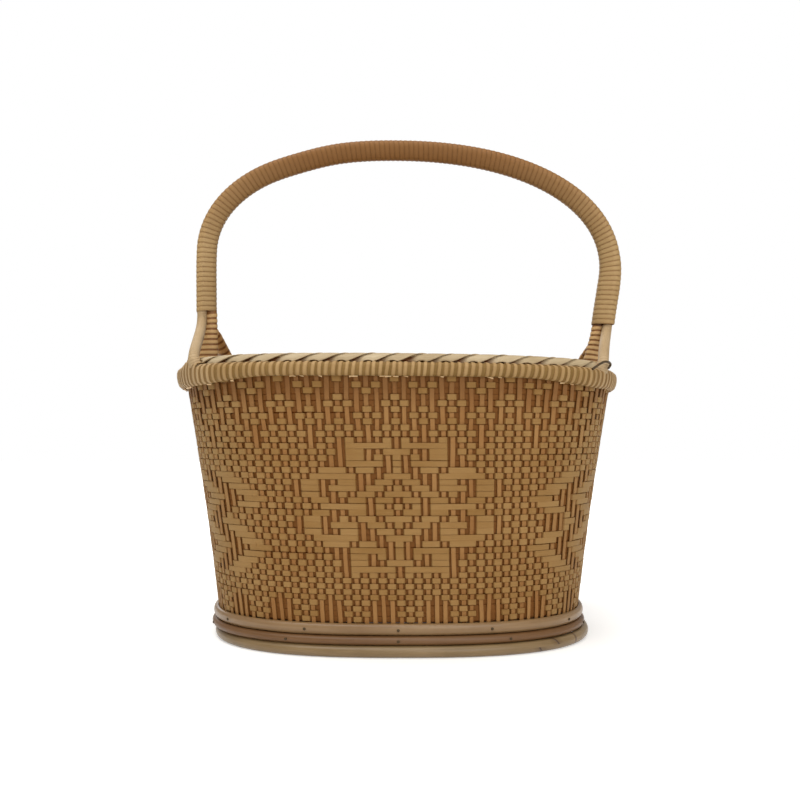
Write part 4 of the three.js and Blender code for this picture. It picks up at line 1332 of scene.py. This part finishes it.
def nail_heads(row, height, offset):
    """A low dome for each nail of a cane, set square to the oval."""
    nodes = [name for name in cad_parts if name.startswith("nail_" + row)]
    shape = bmesh.new()
    for i in range(len(nodes)):
        spot = round_oval(i / len(nodes), offset, height) + BASKET_MIDDLE
        beyond = round_oval(i / len(nodes), offset + 1, height) + BASKET_MIDDLE
        turned = Vector(beyond - spot).to_track_quat("Z", "Y").to_matrix().to_4x4()
        dome = Matrix.Translation(Vector(spot) * MM) @ turned @ NAIL_SQUASH
        bmesh.ops.create_uvsphere(shape, u_segments=10, v_segments=6, radius=NAIL_RADIUS * MM,
                                  matrix=dome)
    mesh = bpy.data.meshes.new("nail_heads_" + row)
    settle(mesh, shape, 60)
    finish_piece(add_object("nail_heads_" + row, mesh), iron, "nail", *nodes)
    print("the", row, "cane has", len(nodes), "nails")


nail_heads("top", TOP_CANE, flare(TOP_CANE) + 4.2)
nail_heads("middle", MIDDLE_CANE, 7.6)

# %% Hook the wire round the leg
WIRE_RADIUS = 0.92
# how far ahead of the leg, offset from the oval, height
WIRE_PATH = (
    (-16.6, 37.0, 211.6), (-12.4, 38.6, 215.4), (-8.3, 39.4, 217.6),
    (-3.6, 39.4, 217.6), (-1.6, 39.0, 216.2), (-3.4, 38.6, 213.4),
)
wire_way = seat_share(1, -1) * oval_length
wire_points = [round_oval((wire_way + ahead) / oval_length, out, height)
               for ahead, out, height in WIRE_PATH]
wire_rail = Rail(curve_through(wire_points, 12), np.array([0.0, 0.3, 1.0]))
wire = rod("wire_loop", wire_rail, WIRE_RADIUS, steps=70, sides=8)
finish_piece(wire, iron, "wire", "tie_wire")

# %% [markdown]
# ## Floor, backdrop and light
# The basket stands on a plain pale floor before a white background. Wide soft lamps above and in
# front give even daylight. The background looks white only to the camera and to reflections, so
# it doesn't flood the basket with light, and the floor keeps the basket's soft shadow.

# %% Floor
floor_shape = bmesh.new()
bmesh.ops.create_grid(floor_shape, x_segments=8, y_segments=8, size=4.0)
floor_mesh = bpy.data.meshes.new("floor")
settle(floor_mesh, floor_shape, 30)
floor = add_object("floor", floor_mesh)
floor_finish = Finish(bpy.data.materials.new("pale floor"))
away = floor_finish.node("ShaderNodeVectorMath", {"operation": "LENGTH"},
                         {0: floor_finish.place("Object")}, 1)
glow = (away * 1.1 + 0.24).limited() * floor_finish.rays("Camera", "Glossy", "Transmission")
pale_floor = floor_finish.give(
    Base_Color=(236, 235, 232),
    Roughness=0.9,
    Specular_IOR_Level=0.1,
    Emission_Color=floor_finish.blend(glow, (0, 0, 0), (255, 255, 255)),
    Emission_Strength=1.0,
)
floor.data.materials.append(pale_floor)
print("the floor reaches 4 m each way")

# %% World and lamps
sky = Finish(bpy.data.worlds.new("world"))
scene.world = sky.owner
sky.tree.nodes.clear()
room = sky.node("ShaderNodeBackground", {}, {"Color": (1.0, 0.99, 0.97, 1.0), "Strength": 0.42})
backdrop = sky.node("ShaderNodeBackground", {}, {"Color": (1.0, 1.0, 1.0, 1.0), "Strength": 1.0})
either = sky.rays("Camera", "Transmission")
chosen = sky.node("ShaderNodeMixShader", {}, {0: either, 1: room, 2: backdrop})
sky.node("ShaderNodeOutputWorld", {}, {"Surface": chosen})


def lamp(name, place, aim, size, power):
    """A soft square lamp that looks at a point."""
    data = bpy.data.lights.new(name, "AREA")
    data.size, data.energy = size, power
    light = add_object(name, data)
    light.location = place
    light.rotation_euler = (Vector(aim) - Vector(place)).to_track_quat("-Z", "Y").to_euler()


lamp("lamp above", (-0.3, -0.5, 1.7), (0, 0, 0.15), 1.4, 20)
lamp("lamp in front", (0.6, -1.7, 0.9), (0, 0, 0.2), 1.2, 12)
lamp("lamp behind", (-0.6, 1.6, 1.1), (0, 0, 0.2), 1.2, 9)
